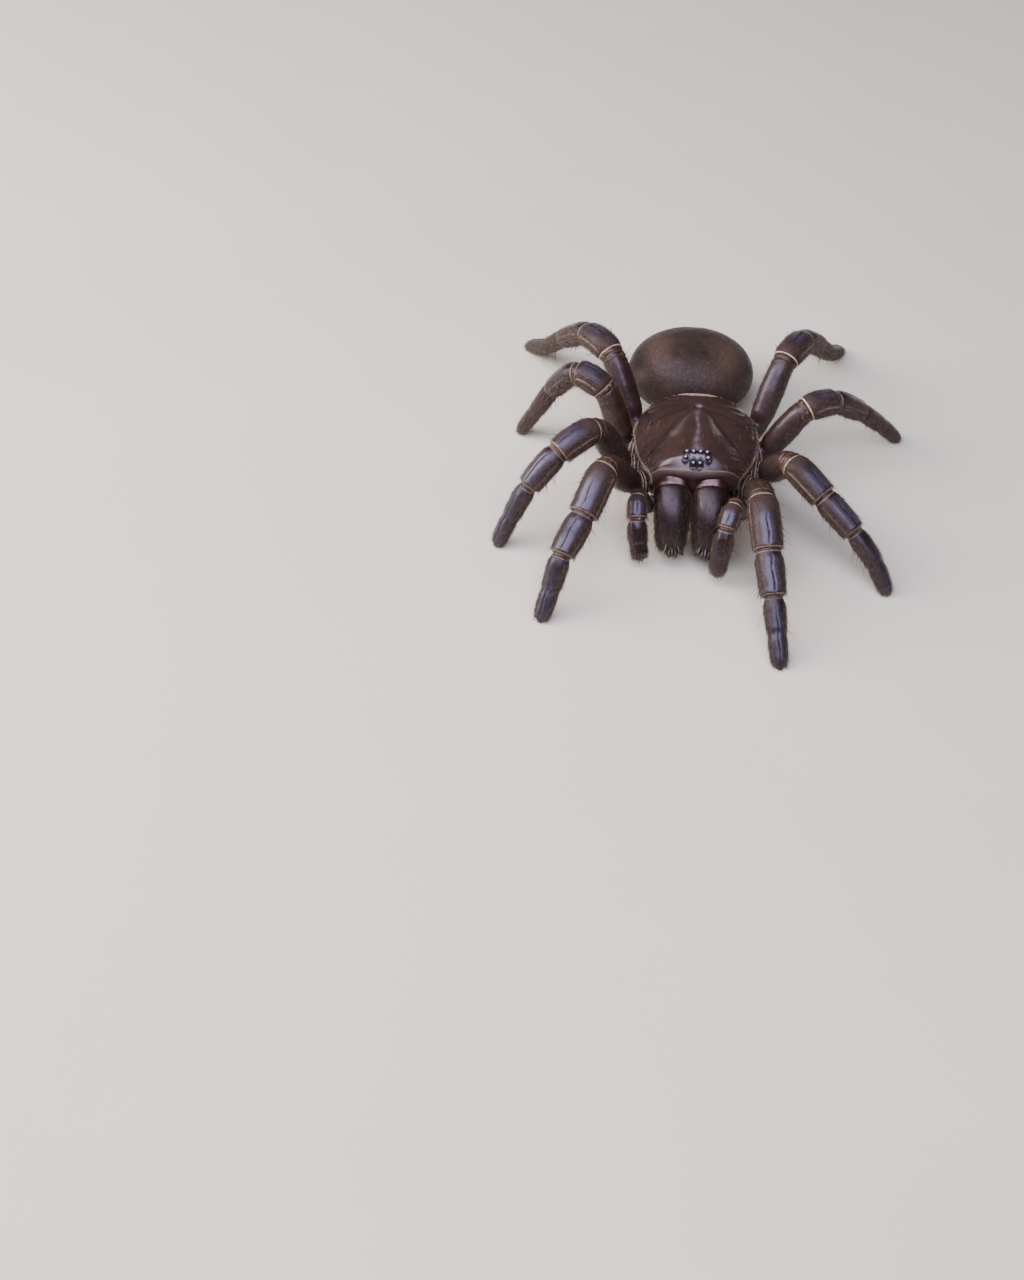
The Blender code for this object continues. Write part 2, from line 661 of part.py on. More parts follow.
def make_fang(side_name, sign):
    """A curved fang folded back below its jaw."""
    rings = []
    for k, (forward, up, radius) in enumerate(FANG):
        a = FANG[max(k - 1, 0)]
        b = FANG[min(k + 1, len(FANG) - 1)]
        along = (body_point(0, b[0], b[1]) - body_point(0, a[0], a[1])).normalized()
        raised = Vector((1, 0, 0)).cross(along)
        middle = body_point(CHELICERAE_MIDDLE + sign * (CHELICERA_SIDE - CHELICERA_TURN_IN), forward, up)
        rings.append(ring(middle, Vector((1, 0, 0)), raised, radius, radius, 8, 2.0))
    add_piece(f"fang_{side_name}", "fang", lambda bm: loft(bm, rings))


def main():
    for item in list(bpy.data.objects):
        bpy.data.objects.remove(item)
    home = bpy.data.collections.new("trapdoor_spider")
    bpy.context.scene.collection.children.link(home)
    make_carapace()
    make_eyes()
    make_underside()
    make_abdomen()
    make_spinnerets()
    make_chelicerae()
    for side_name in ("left", "right"):
        make_palp(side_name)
        for pair in LEG_ROOTS:
            make_leg(side_name, pair)


main()
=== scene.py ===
"""Looks of the trapdoor spider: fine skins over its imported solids, joint skins, coat and stage.

Shapes are worked out in millimetres with the solids' own sizes. The spider looks along -Y, its left
side is at +X, and body positions are (side, forward, up) from the middle of the carapace's rim plane.
"""

import math
from functools import partial

import bmesh
import bpy
import numpy as np
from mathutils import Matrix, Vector, noise


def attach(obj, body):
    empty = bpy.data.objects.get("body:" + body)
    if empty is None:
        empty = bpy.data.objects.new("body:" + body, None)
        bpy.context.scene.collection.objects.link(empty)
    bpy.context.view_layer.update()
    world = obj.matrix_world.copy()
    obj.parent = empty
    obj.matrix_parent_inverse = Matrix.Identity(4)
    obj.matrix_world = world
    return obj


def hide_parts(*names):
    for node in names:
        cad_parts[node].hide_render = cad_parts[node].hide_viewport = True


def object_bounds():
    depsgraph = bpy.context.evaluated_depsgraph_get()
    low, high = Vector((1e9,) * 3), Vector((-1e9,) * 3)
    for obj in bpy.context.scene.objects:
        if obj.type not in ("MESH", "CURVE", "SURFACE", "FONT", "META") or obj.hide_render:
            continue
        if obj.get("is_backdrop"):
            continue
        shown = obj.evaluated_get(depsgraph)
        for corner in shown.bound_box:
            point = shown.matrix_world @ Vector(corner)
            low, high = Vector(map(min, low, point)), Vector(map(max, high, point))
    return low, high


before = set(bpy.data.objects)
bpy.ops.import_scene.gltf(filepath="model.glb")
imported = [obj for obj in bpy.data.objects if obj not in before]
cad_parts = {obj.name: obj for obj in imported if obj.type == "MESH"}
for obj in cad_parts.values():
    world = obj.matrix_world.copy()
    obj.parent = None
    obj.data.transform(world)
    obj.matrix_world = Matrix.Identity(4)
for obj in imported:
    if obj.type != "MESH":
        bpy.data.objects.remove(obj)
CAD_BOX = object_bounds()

bl_info = {
    "name": "Trapdoor Spider",
    "version": (1, 0, 0),
    "blender": (4, 5, 0),
    "location": "View3D > Sidebar > Spider",
    "description": "Builds the skins, joints, coat and stage of a life-size trapdoor spider",
    "category": "Add Mesh",
}

# A millimetre, the gap between nodes, and the middle of the stance, which is brought to the origin
MM = 0.001
GAP = 0.3
CENTRE = np.array((2.2, -0.5, 0.0))
UP = np.array((0.0, 0.0, 1.0))
ACROSS = np.array((1.0, 0.0, 0.0))
SIDES = {"left": 1, "right": -1}

# Carapace: the tables start with a place forward
RIM_HEIGHT = 13.0
NOSE_UP = 3.0
REAR, FRONT = -18.6, 15.0
WIDEST_AT = -2.4
HALF_WIDTH = 14.0
REAR_HALF_WIDTH = 5.0
FRONT_HALF_WIDTH = 9.7
FRONT_TAPER = 1.6
BOW_FROM = 4.0
FRONT_BOW = 2.0
RIM_THICKNESS = 1.0
REAR_HEIGHT = 1.0
THORAX_HEIGHT = 4.6
CLYPEUS_HEIGHT = 4.4
CLYPEUS_NOTCH = 0.35
FOVEA_AT = -9.4
FOVEA_DEPTH = 1.0
EYES_AT = 11.9
EYE_MOUND = 0.7
CLYPEUS_BAND = 1.05
HEAD_HALF_WIDTHS = ((-12.0, 2.0), (11.0, 11.5))
HEAD_RISE = ((REAR, 0.0), (FOVEA_AT, 0.15), (-3.0, 1.9), (5.0, 2.7), (EYES_AT, 2.3),
             (FRONT, CLYPEUS_HEIGHT - THORAX_HEIGHT))
# Grooves that run out from the pit: side and forward parts of the direction, depth, half width, bend
GROOVES = ((0.57, 0.82, 0.26, 0.6, 0.002), (0.92, 0.38, 0.2, 0.6, 0.005), (1.0, -0.08, 0.18, 0.55, 0.005),
           (0.86, -0.5, 0.16, 0.55, 0.005))
# Rows round the rim: how far out of the top's edge, and height
RIM_WALL = ((0.02, -0.3), (-0.08, -0.7), (-0.4, -RIM_THICKNESS))
# Rows over the front face: size beside its edge, and how much of the edge's colours they keep
FRONT_FACE = ((0.96, 1.0), (0.88, 1.0), (0.78, 0.9), (0.68, 0.5), (0.6, 0.1), (0.4, 0.0))

# Abdomen
ABDOMEN_MIDDLE = np.array((-1.6, 30.0, 9.5))
ABDOMEN_HALF_WIDTH = 14.6
ABDOMEN_HALF_HEIGHT = 9.0
ABDOMEN_FRONT_LENGTH = 11.2
ABDOMEN_REAR_LENGTH = 13.4
WAIST_DROP = 1.3
# Depth, then place and half width to the side, then backwards
ABDOMEN_DENTS = ((0.35, 3.6, 0.7, -2.5, 0.9), (0.28, 3.2, 0.6, 3.5, 0.8))
# To the side, below the abdomen's middle, outward lean, length, and share of the length with radius
SPINNERETS = {
    "spinneret": (2.1, 2.0, 0.22, 4.2, ((0.0, 1.15), (0.35, 1.2), (0.4, 1.0), (0.7, 1.05), (0.75, 0.85),
                                        (0.92, 0.65))),
    "spinneret_short": (0.75, 4.3, 0.1, 1.7, ((0.0, 0.5), (0.5, 0.5), (0.9, 0.35))),
}

# Underside: radii of each stub at the shares of its length
CORE_HALF_WIDTH = 6.3
CORE_HALF_LENGTH = 9.6
CORE_TOP = -RIM_THICKNESS - GAP
CORE_BOTTOM = -7.8
STUB_SHARES = (0.0, 0.5, 0.85, 1.0)
COXA_RADII = (2.5, 2.95, 2.85, 2.6)
PALP_COXA_RADII = (2.3, 2.45, 2.2, 1.9)
WAIST_RADII = (2.4, 2.2, 1.95, 1.8)
LIP_RADII = (2.2, 2.2, 1.9, 1.5)
WAIST_START = (0.0, 5.0, 8.3)
LIP_START = (0.0, -5.0, 7.4)
LIP_END = (0.0, -11.2, 6.6)

# Chelicerae: forward of the carapace's front, up, half width, half height of each section
CHELICERAE_MIDDLE = -0.6
CHELICERA_SIDE = 4.25
CHELICERA = ((GAP, -0.95, 3.95, 4.4), (0.95, -1.1, 4.0, 4.45), (1.9, -1.5, 4.05, 4.4), (3.8, -2.7, 4.0, 4.25),
             (5.4, -4.4, 3.85, 4.0), (6.7, -6.5, 3.55, 3.6), (7.5, -8.5, 3.1, 3.0), (7.9, -10.1, 2.4, 2.3))
COLLAR_END = 0.215
CHELICERA_SETTLED = 0.5
CHELICERA_TURN_IN = 0.3
# Fangs: forward, up and radius of each section
FANG = ((22.75, -11.0, 1.2), (22.6, -11.6, 1.2), (21.7, -12.15, 1.1), (20.2, -12.35, 0.95),
        (18.3, -12.1, 0.75), (16.5, -11.4, 0.5), (15.2, -10.5, 0.25))
# Digging spines: share along the jaw and degrees round it
RASTELLUM = ((0.86, 72), (0.9, 96), (0.88, 121), (0.95, 84), (0.94, 109), (0.93, 135))
SPINE_LENGTH = 1.7
SPINE_RADIUS = 0.42
SPINE_SUNK = 0.7
SPINE_DOWNWARD = 1.1

# Legs: joint lengths from femur to tarsus
LEG_LENGTHS = {
    1: (18.4, 12.3, 10.2, 7.9, 7.2),
    2: (16.0, 10.8, 10.1, 7.3, 8.6),
    3: (14.5, 8.0, 9.9, 9.6, 8.8),
    4: (17.0, 10.0, 12.0, 11.3, 9.0),
}
# Where the femur sets out and where the coxa starts, on the left side
LEG_ROOTS = {1: (13.6, -9.3, 9.5), 2: (15.9, -2.6, 8.8), 3: (15.9, 5.0, 8.5), 4: (13.9, 13.0, 8.3)}
COXA_STARTS = {1: (4.2, -5.6, 8.6), 2: (4.6, -1.6, 8.4), 3: (4.6, 2.8, 8.0), 4: (3.8, 6.8, 7.6)}
# Degrees: turn of the femur from straight ahead, further turn past it, lifts from femur to metatarsus
LEG_POSES = {
    ("right", 1): (31, -5, (51, -37, -22, -58)),
    ("left", 1): (2, 8, (39, -32, -30, -36)),
    ("right", 2): (62, -9, (64, -15, -40, -57)),
    ("left", 2): (25, 26, (50, -25, -28, -36)),
    ("right", 3): (126, -13, (66, 20, -52, -64)),
    ("left", 3): (100, 22, (57, -5, -38, -46)),
    ("right", 4): (146, -4, (51, -4, -40, -46)),
    ("left", 4): (150, 3, (51, -6, -40, -46)),
}
LEG_THICKNESS = {1: 1.04, 2: 1.0, 3: 0.97, 4: 1.0}
KNEE_BEND = 4.4
TROCHANTER = 3.6
TIP_HEIGHT = 0.3
# Segments: share of the length, half width and half height of each section
FEMUR = ((0.0, 2.25, 2.35), (0.1, 2.35, 2.4), (0.2, 2.15, 2.2), (0.38, 2.6, 2.8),
         (0.62, 2.75, 3.0), (0.85, 2.6, 2.8), (1.0, 2.5, 2.6))
PATELLA = ((0.0, 2.95, 2.6), (0.18, 3.15, 2.95), (0.5, 3.2, 3.0), (0.85, 3.15, 2.85), (1.0, 3.0, 2.65))
TIBIA = ((0.0, 2.55, 2.45), (0.2, 2.85, 2.65), (0.6, 2.8, 2.6), (0.88, 2.6, 2.45), (1.0, 2.35, 2.25))
FOOT = ((0.0, 2.0, 1.95), (0.12, 2.2, 2.05), (0.42, 2.05, 1.95), (0.5, 1.75, 1.65),
        (0.62, 1.9, 1.8), (0.85, 1.75, 1.6), (0.94, 1.35, 1.25), (1.0, 0.75, 0.7))
# Kind of segment, its first and its last joint, and its sections
SEGMENTS = (("femur", 0, 2, FEMUR), ("patella", 2, 3, PATELLA), ("tibia", 3, 4, TIBIA), ("foot", 4, 6, FOOT))

# Palps, with their joints on the floor's axes
PALP_COXA_START = (2.6, -7.4, 7.4)
PALP_TROCHANTER = 2.8
PALP_CORNERS = {
    "right": ((-10.3, -13.3, 6.6), (-12.4, -16.7, 13.5), (-12.3, -21.8, 10.6), (-11.8, -24.2, 6.4),
              (-11.0, -26.2, 2.4)),
    "left": ((11.1, -14.0, 6.8), (8.7, -21.6, 16.6), (7.0, -26.6, 13.4), (6.2, -29.2, 8.0),
             (5.6, -30.5, 3.0)),
}
PALP_FEMUR = ((0.0, 1.6, 1.65), (0.2, 1.7, 1.75), (0.32, 1.6, 1.65), (0.65, 1.85, 1.9), (1.0, 1.8, 1.65))
PALP_PATELLA = ((0.0, 1.85, 1.7), (0.4, 2.2, 2.0), (1.0, 2.05, 1.95))
PALP_TIP = ((0.0, 1.85, 1.8), (0.2, 2.1, 2.0), (0.48, 2.0, 1.9), (0.56, 1.8, 1.75), (0.8, 1.9, 1.8),
            (0.93, 1.45, 1.4), (1.0, 0.75, 0.75))
PALP_SEGMENTS = (("femur", 0, 2, PALP_FEMUR), ("patella", 2, 3, PALP_PATELLA), ("tip", 3, 5, PALP_TIP))
PALP_BEND = 3.0

# Fine shape of every limb
LIP_LENGTH = 0.5
JOINT_REACH = 0.32
STREAK_DEPTH = 0.1
STREAK_HALF_WIDTH = 0.22
CLAW_RADIUS = 0.16
# Raised rings of the trochanter, and how softly the colour of each ends
TROCHANTER_RINGS = (0.4, 1.25, 2.15)
RING_SOFTNESS = (0.12, 0.16, 0.16)
# Where the dark groove along the top starts and is full, how pale the start, the end and the sides are,
# and the share up to which the surface is dull
SEGMENT_LOOKS = {
    "femur": (1.0, 2.0, 0.75, 0.35, 0.0, 0.0),
    "patella": (0.25, 0.5, 1.0, 0.8, 0.85, 0.3),
    "tibia": (-0.2, 0.0, 0.3, 0.6, 0.35, 0.0),
    "foot": (0.1, 0.4, 0.15, 0.0, 0.0, 0.0),
    "tip": (1.0, 2.0, 0.2, 0.0, 0.0, 0.0),
}

# Coat: how closely short hairs stand on a segment's top and on its flanks
FUZZ_SHARES = {"femur": (0.02, 0.6), "patella": (0.02, 1.4), "tibia": (0.04, 1.7), "foot": (0.25, 2.0),
               "tip": (0.25, 2.0)}
ROOT_DEPTH = 0.04
ROUND_FROM_BELOW = (-math.pi / 2, 1.5 * math.pi)
PATCH_SIZE = 0.003

# Eyes: side, forward of the group's middle, radius; each is mirrored
EYES = {
    "front_middle": (0.72, 1.5, 0.55),
    "front_side": (2.45, 0.7, 0.6),
    "rear_middle": (0.76, -0.75, 0.58),
    "rear_side": (2.2, -0.8, 0.58),
}

# Stage, in metres: each softbox's place, target, size and colour
FLOOR_HALF = 1.5
SOFTBOXES = {
    "top": ((-0.12, -0.2, 0.5), (0.0, 0.0, 0.015), (0.9, 0.42), "#F3EFFF"),
    "key": ((-0.56, -0.02, 0.29), (0.0, 0.0, 0.01), (0.42, 0.42), "#FFF3E6"),
}

# Camera: place before the stance is brought to the origin, tilt below level, turn, and lens
CAMERA_PLACE = (-12.8, -362.5, 330.1)
CAMERA_DOWN = 46.5
CAMERA_TURN = 4.5
CAMERA_LENS = 60.0


def linear(hex_colour):
    """An sRGB hex colour as linear red, green and blue."""
    values = [int(hex_colour[i:i + 2], 16) / 255 for i in (1, 3, 5)]
    return tuple(v / 12.92 if v <= 0.04045 else ((v + 0.055) / 1.055) ** 2.4 for v in values)


# Sizes and colours that a user would change

def colour(name, description, hex_colour):
    """A colour that a user can change."""
    return bpy.props.FloatVectorProperty(name=name, description=description, default=linear(hex_colour),
                                         subtype="COLOR", size=3, min=0.0, max=1.0)


def length(name, description, millimetres):
    """A length that a user can change."""
    return bpy.props.FloatProperty(name=name, description=description, default=millimetres * MM,
                                   unit="LENGTH", min=0.0)


class SpiderSizes(bpy.types.PropertyGroup):
    """Sizes of the fine relief and of the coat."""

    rim_lip: length("Rim lip", "How far the carapace's border is raised", 0.16)
    fuzz: length("Fuzz", "Length of the short hairs on legs and palps", 1.2)
    bristle: length("Bristle", "Length of the long bristles on legs and palps", 3.8)
    jaw_hair: length("Jaw hair", "Length of the hairs on the lower part of each jaw", 2.0)
    velvet: length("Velvet", "Length of the hairs on the abdomen", 0.6)
    hair_radius: length("Hair radius", "Radius of a short hair at its root", 0.042)


class SpiderColours(bpy.types.PropertyGroup):
    """Colours of the chitin, the skin and the coat."""

    carapace: colour("Carapace", "Glossy shield", "#382824")
    limb: colour("Limb", "Patella and tibia", "#281B14")
    foot: colour("Foot", "Metatarsus and tarsus", "#1C1615")
    femur: colour("Femur", "Femur, a little redder", "#34231A")
    jaw: colour("Jaw", "Chelicerae", "#190E0B")
    edge: colour("Edges", "Thin pale edges of the plates and joints", "#CDB7A2")
    tan: colour("Joint skin", "Soft skin between the joints", "#3E281F")
    abdomen: colour("Abdomen", "Velvety skin", "#3A2F29")
    hair: colour("Hair", "Coat, at its roots", "#33241D")
    hair_tip: colour("Hair tip", "Coat, at its tips", "#8E7663")
    sheen: colour("Sheen", "Cool cast of the gloss", "#CBC8F2")


class SpiderStage(bpy.types.PropertyGroup):
    """Floor and studio light."""

    floor: colour("Floor", "Plain pale floor", "#D8D2C8")
    top_light: bpy.props.FloatProperty(name="Top light", description="Power of the overhead softbox",
                                       default=7.7, unit="POWER", min=0.0)
    key_light: bpy.props.FloatProperty(name="Key light", description="Power of the side softbox",
                                       default=5.6, unit="POWER", min=0.0)


# Shape arithmetic

def unit(vectors):
    """Vectors of length 1."""
    return vectors / np.linalg.norm(vectors, axis=-1, keepdims=True)


def smooth(a, b, x):
    """0 below a, 1 above b, with a soft turn at both."""
    t = np.clip((x - a) / (b - a), 0.0, 1.0)
    return t * t * (3 - 2 * t)


def hump(x, middle, half_width):
    """1 at the middle, fading out on both sides."""
    return np.exp(-((x - middle) / half_width) ** 2)


def drawn_in(edge):
    """How far a rounded edge has drawn in, from 0 where edge is 0 to 1 where edge is 1."""
    return 1 - np.sqrt(1 - edge ** 2)


def turns(count, shift=0.0):
    """Angles evenly round a circle."""
    return 2 * math.pi * (np.arange(count) + shift) / count


def between(stations, u):
    """Columns of a row of stations at shares u, eased from one station to the next."""
    table = np.array(stations)
    u = np.asarray(u, float)
    k = np.clip(np.searchsorted(table[:, 0], u, side="left") - 1, 0, len(table) - 2)
    t = smooth(table[k, 0], table[k + 1, 0], u)
    return [table[k, c] + (table[k + 1, c] - table[k, c]) * t for c in range(1, table.shape[1])]


def flowing(rows, u):
    """A smooth curve through rows of numbers, at shares u from 0 to 1."""
    rows = np.array(rows, float)
    padded = np.vstack((2 * rows[0] - rows[1], rows, 2 * rows[-1] - rows[-2]))
    place = np.clip(np.asarray(u) * (len(rows) - 1), 0, len(rows) - 1 - 1e-9)
    k = place.astype(int)
    t = (place - k)[:, None]
    a, b, c, d = (padded[k + i] for i in range(4))
    square, cube = 2 * a - 5 * b + 4 * c - d, 3 * b - a - 3 * c + d
    return 0.5 * (2 * b + (c - a) * t + square * t ** 2 + cube * t ** 3)


def body_point(side, forward, up):
    """From the carapace's own axes to the floor's."""
    tilt = math.radians(NOSE_UP)
    side, forward, up = np.broadcast_arrays(side, forward, up)
    return np.stack((side, -forward * math.cos(tilt) + up * math.sin(tilt),
                     RIM_HEIGHT + forward * math.sin(tilt) + up * math.cos(tilt)), axis=-1)


# The way that the body faces
AHEAD = body_point(0, 1, 0) - body_point(0, 0, 0)


def mirrored(place, sign):
    """A place of the left side, or its like on the right."""
    return np.array(place, float) * (sign, 1, 1)


def section(angles, half_width, half_height, squareness=2.2):
    """Side and height of a rounded section's points, a little squarer than an ellipse."""
    power = 2 / squareness
    c, s = np.cos(angles), np.sin(angles)
    return (np.sign(c) * np.abs(c) ** power * half_width, np.sign(s) * np.abs(s) ** power * half_height)


def round_section(count, radius, squareness=2.2):
    """Side and height of the points of round sections, one for each radius."""
    return section(turns(count)[None, :], radius[:, None], radius[:, None], squareness)


def laid(line, side, lift, across, up):
    """Rings of points, across and up from each point of a line."""
    return line[:, None] + side[..., None, :] * across[..., None] + lift[..., None, :] * up[..., None]


def speckle(points, size, seed):
    """Smooth noise from -1 to 1 with lumps of that many millimetres."""
    shift = Vector((seed * 13.7, seed * 7.1, seed * 3.3))
    flat = points.reshape(-1, 3) / size
    return np.array([noise.noise(Vector(p) + shift) for p in flat]).reshape(points.shape[:-1])


# Meshes

def grid_faces(rows, columns, closed):
    """Quads between neighbouring rows of a grid."""
    i, j = np.meshgrid(np.arange(rows - 1), np.arange(columns if closed else columns - 1), indexing="ij")
    nxt = (j + 1) % columns
    return np.stack((i * columns + j, i * columns + nxt, (i + 1) * columns + nxt, (i + 1) * columns + j),
                    axis=-1).reshape(-1, 4).tolist()


def tube(rings, start_pole, end_pole, values=None):
    """A closed shape skinned over rings, with a point at each end.

    values hold a number or a vector for each ring point.
    """
    rows, columns = rings.shape[:2]
    points = np.vstack((rings.reshape(-1, 3), [start_pole, end_pole]))
    faces = grid_faces(rows, columns, True)
    last = (rows - 1) * columns
    start, end = rows * columns, rows * columns + 1
    for j in range(columns):
        k = (j + 1) % columns
        faces.append((k, j, start))
        faces.append((last + j, last + k, end))
    kept = {}
    for name, value in (values or {}).items():
        flat = value.reshape(rows * columns, -1)
        ends = np.array([value[0].reshape(columns, -1).mean(0), value[-1].reshape(columns, -1).mean(0)])
        kept[name] = np.vstack((flat, ends))
    return points, faces, kept


def merge(shapes):
    """Several shapes as one."""
    points, faces, kept = [], [], {}
    start = 0
    for shape_points, shape_faces, values in shapes:
        points.append(shape_points)
        faces += [tuple(start + k for k in face) for face in shape_faces]
        start += len(shape_points)
        for name, value in values.items():
            kept.setdefault(name, []).append(value)
    return np.vstack(points), faces, {name: np.vstack(value) for name, value in kept.items()}


def add_piece(name, shape, material):
    """A new object with its place in its mesh, and the shape's numbers as attributes."""
    points, faces, values = shape
    mesh = bpy.data.meshes.new(name)
    mesh.from_pydata(((points - CENTRE) * MM).tolist(), [], faces)
    for attribute, value in values.items():
        kind, key = ("FLOAT_VECTOR", "vector") if value.shape[1] == 3 else ("FLOAT", "value")
        data = mesh.attributes.new(attribute, kind, "POINT").data
        data.foreach_set(key, value.astype(np.float32).ravel())
    bm = bmesh.new()
    bm.from_mesh(mesh)
    bmesh.ops.recalc_face_normals(bm, faces=bm.faces)
    bm.to_mesh(mesh)
    bm.free()
    mesh.shade_smooth()
    mesh.materials.append(material)
    piece = bpy.data.objects.new(name, mesh)
    bpy.context.scene.collection.objects.link(piece)
    return piece


def keep(piece, slot, *nodes):
    """Settles a finished piece: what carries it, and the nodes that it stands for; its finish (slot) is not
    used.
    """
    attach(piece, "root")
    if nodes:
        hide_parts(*nodes)


# Materials

MATH = "ShaderNodeMath"
MAP_RANGE = "ShaderNodeMapRange"
SOFT_STEP = {"interpolation_type": "SMOOTHSTEP"}
ATTRIBUTE = "ShaderNodeAttribute"
SEPARATE = "ShaderNodeSeparateXYZ"
COMBINE = "ShaderNodeCombineXYZ"


def fill(socket, value):
    """Gives a socket its own number, vector or colour."""
    socket.default_value = (*value, 1.0) if socket.type == "RGBA" else value


def add_node(tree, kind, links=(), out=0, **settings):
    """Adds a node with its settings and gives an output of it, or all of them where out is None.

    links holds what each input gets, by place or by name: a value, or the output that feeds it.
    """
    node = tree.nodes.new(kind)
    for name, value in settings.items():
        setattr(node, name, value)
    for key, value in links.items() if isinstance(links, dict) else enumerate(links):
        if isinstance(value, bpy.types.NodeSocket):
            tree.links.new(value, node.inputs[key])
        else:
            fill(node.inputs[key], value)
    return node.outputs if out is None else node.outputs[out]


def new_material(name):
    """A material, and the call that adds nodes to it."""
    material = bpy.data.materials.new(name)
    material.use_nodes = True
    return material, partial(add_node, material.node_tree)


def settled(material, settings, shade, gloss=None, relief=None, depth=0.05, strength=1.0):
    """The material once its shader has its own numbers, its colour, its roughness and its relief's bump."""
    tree = material.node_tree
    inputs = tree.nodes["Principled BSDF"].inputs
    for name, value in settings.items():
        fill(inputs[name], value)
    tree.links.new(shade, inputs["Base Color"])
    if gloss is not None:
        tree.links.new(gloss, inputs["Roughness"])
    if relief is not None:
        bump = {"Strength": strength, "Distance": depth * MM, "Height": relief}
        tree.links.new(add_node(tree, "ShaderNodeBump", bump), inputs["Normal"])
    return material


def mottle(add, millimetres, detail=3.0):
    """Noise whose lumps are about that many millimetres across, from 0 to 1."""
    where = add("ShaderNodeTexCoord", out="Object")
    links = {"Vector": where, "Scale": 1 / (millimetres * MM), "Detail": detail, "Roughness": 0.55}
    return add("ShaderNodeTexNoise", links)


def patches(add, millimetres, low, high, start=0.0, end=1.0, detail=3.0):
    """Soft-edged patches about that many millimetres across: start between them, end on them."""
    return add(MAP_RANGE, (mottle(add, millimetres, detail), low, high, start, end), **SOFT_STEP)


def stripe(add, value, middle, half_width, soft):
    """1 where value is within half_width of middle, fading out over soft."""
    off = add(MATH, (value, middle), operation="SUBTRACT")
    away = add(MATH, (off,), operation="ABSOLUTE")
    return add(MAP_RANGE, (away, half_width, half_width + soft, 1.0, 0.0), **SOFT_STEP)


def layered(add, shade, *layers):
    """A colour with others laid over it, each by where it lies, how thickly, and its colour."""
    for where, thickness, over in layers:
        share = where if thickness == 1.0 else add(MATH, (where, thickness), operation="MULTIPLY")
        shade = add("ShaderNodeMix", {0: share, 6: shade, 7: over}, 2, data_type="RGBA")
    return shade


def summed(add, total, *parts):
    """A number with others added to it, each by its own weight."""
    for part, weight in parts:
        total = add(MATH, (part, weight, total), operation="MULTIPLY_ADD")
    return total


def darker(rgb, share):
    """A colour at that share of its brightness."""
    return tuple(value * share for value in rgb)


def limb_chitin(name, colours, base, rings=(0.34,), roughness=0.27, painted_highlight_share=0.5):
    """Sclerotised chitin, grown in a thin waxy layer: deep brown with a soft cool gloss, pale at joints, with
    a painted lavender highlight along the top.
    """
    material, add = new_material(name)
    place, edges = (add(SEPARATE, (add(ATTRIBUTE, out="Vector", attribute_name=told),), None)
                    for told in ("place", "edges"))
    dull, top, to_end = (add(ATTRIBUTE, out="Fac", attribute_name=told)
                         for told in ("dull", "streak", "to_end"))
    fine = mottle(add, 0.35, 2.0)
    aside = add(MATH, (place[0],), operation="ABSOLUTE")
    flank = add(MAP_RANGE, (aside, 1.0, 1.9), **SOFT_STEP)
    # Painted highlight: a lavender tint over the top, off the flanks, where the top streak lies
    painted_top_highlight = add(MATH, (add(MAP_RANGE, (aside, 1.0, 1.9, 1.0, 0.0), **SOFT_STEP), top), operation="MULTIPLY")
    line = add(MATH, (stripe(add, place[0], 0.0, 0.12, 0.18), top), operation="MULTIPLY")
    streak = add(MATH, (line, patches(add, 2.2, 0.38, 0.56, 0.15, 1.0, detail=1.0)), operation="MULTIPLY")
    grain = patches(add, 0.5, 0.3, 0.6, 0.3, 1.0)
    pale = edges[2]
    for middle, soft in zip(rings, RING_SOFTNESS):
        ring = add(MATH, (stripe(add, place[2], middle, 0.06, soft), edges[0]), operation="MULTIPLY")
        pale = add(MATH, (pale, ring), operation="MAXIMUM")
    end = add(MATH, (stripe(add, to_end, 0.34, 0.06, 0.14), edges[1]), operation="MULTIPLY")
    shade = layered(add, darker(base, 0.62),
                    (patches(add, 2.2, 0.35, 0.65), 1.0, base),
                    (add(MAP_RANGE, (fine, 0.55, 0.75), **SOFT_STEP), 0.3, darker(base, 1.7)),
                    (flank, 0.5, linear("#33251C")),
                    (dull, 0.6, linear("#3B2A20")),
                    (painted_top_highlight, painted_highlight_share, linear("#4B4556")),
                    (streak, 1.0, darker(base, 0.22)),
                    (pale, grain, colours.edge),
                    (end, grain, linear("#8A705E")))
    gloss = summed(add, patches(add, 0.6, 0.3, 0.7, roughness - 0.05, roughness + 0.09),
                   (streak, 0.35), (dull, 0.45), (flank, 0.3))
    pits = summed(add, 0.0, (fine, 0.5), (mottle(add, 0.14, 1.0), 0.5))
    settings = {"IOR": 1.52, "Specular Tint": colours.sheen, "Coat Weight": 0.12, "Coat Roughness": 0.2,
                "Coat IOR": 1.5}
    return settled(material, settings, shade, gloss, pits, strength=0.7)


def jaw_chitin(name, base):
    """Sclerotised chitin of the jaws: brown with a cool gloss, a waxy pink collar whose pale top is partly a
    painted highlight, red skin at the base.
    """
    material, add = new_material(name)
    collar, skin, seam = (add(ATTRIBUTE, out="Fac", attribute_name=told)
                          for told in ("collar", "skin", "seam"))
    fine = mottle(add, 0.3, 2.0)
    shade = layered(add, darker(base, 0.6),
                    (patches(add, 2.6, 0.35, 0.65), 1.0, base),
                    (add(MAP_RANGE, (fine, 0.5, 0.72), **SOFT_STEP), 0.35, darker(base, 1.8)),
                    (skin, 1.0, linear("#2C1410")),
                    # Pink collar, paler on its top: partly its own colour, partly a painted highlight
                    (collar, patches(add, 0.8, 0.3, 0.65, 0.45, 1.0), linear("#907583")),
                    (seam, 1.0, linear("#160D0C")))
    gloss = summed(add, patches(add, 0.5, 0.3, 0.7, 0.3, 0.44), (collar, -0.06))
    pits = summed(add, 0.0, (fine, 1.0), (mottle(add, 0.14, 1.0), 1.0))
    settings = {"IOR": 1.53, "Specular Tint": linear("#DECCE2"), "Coat Weight": 0.1, "Coat Roughness": 0.25,
                "Coat IOR": 1.5}
    return settled(material, settings, shade, gloss, pits, strength=0.6)


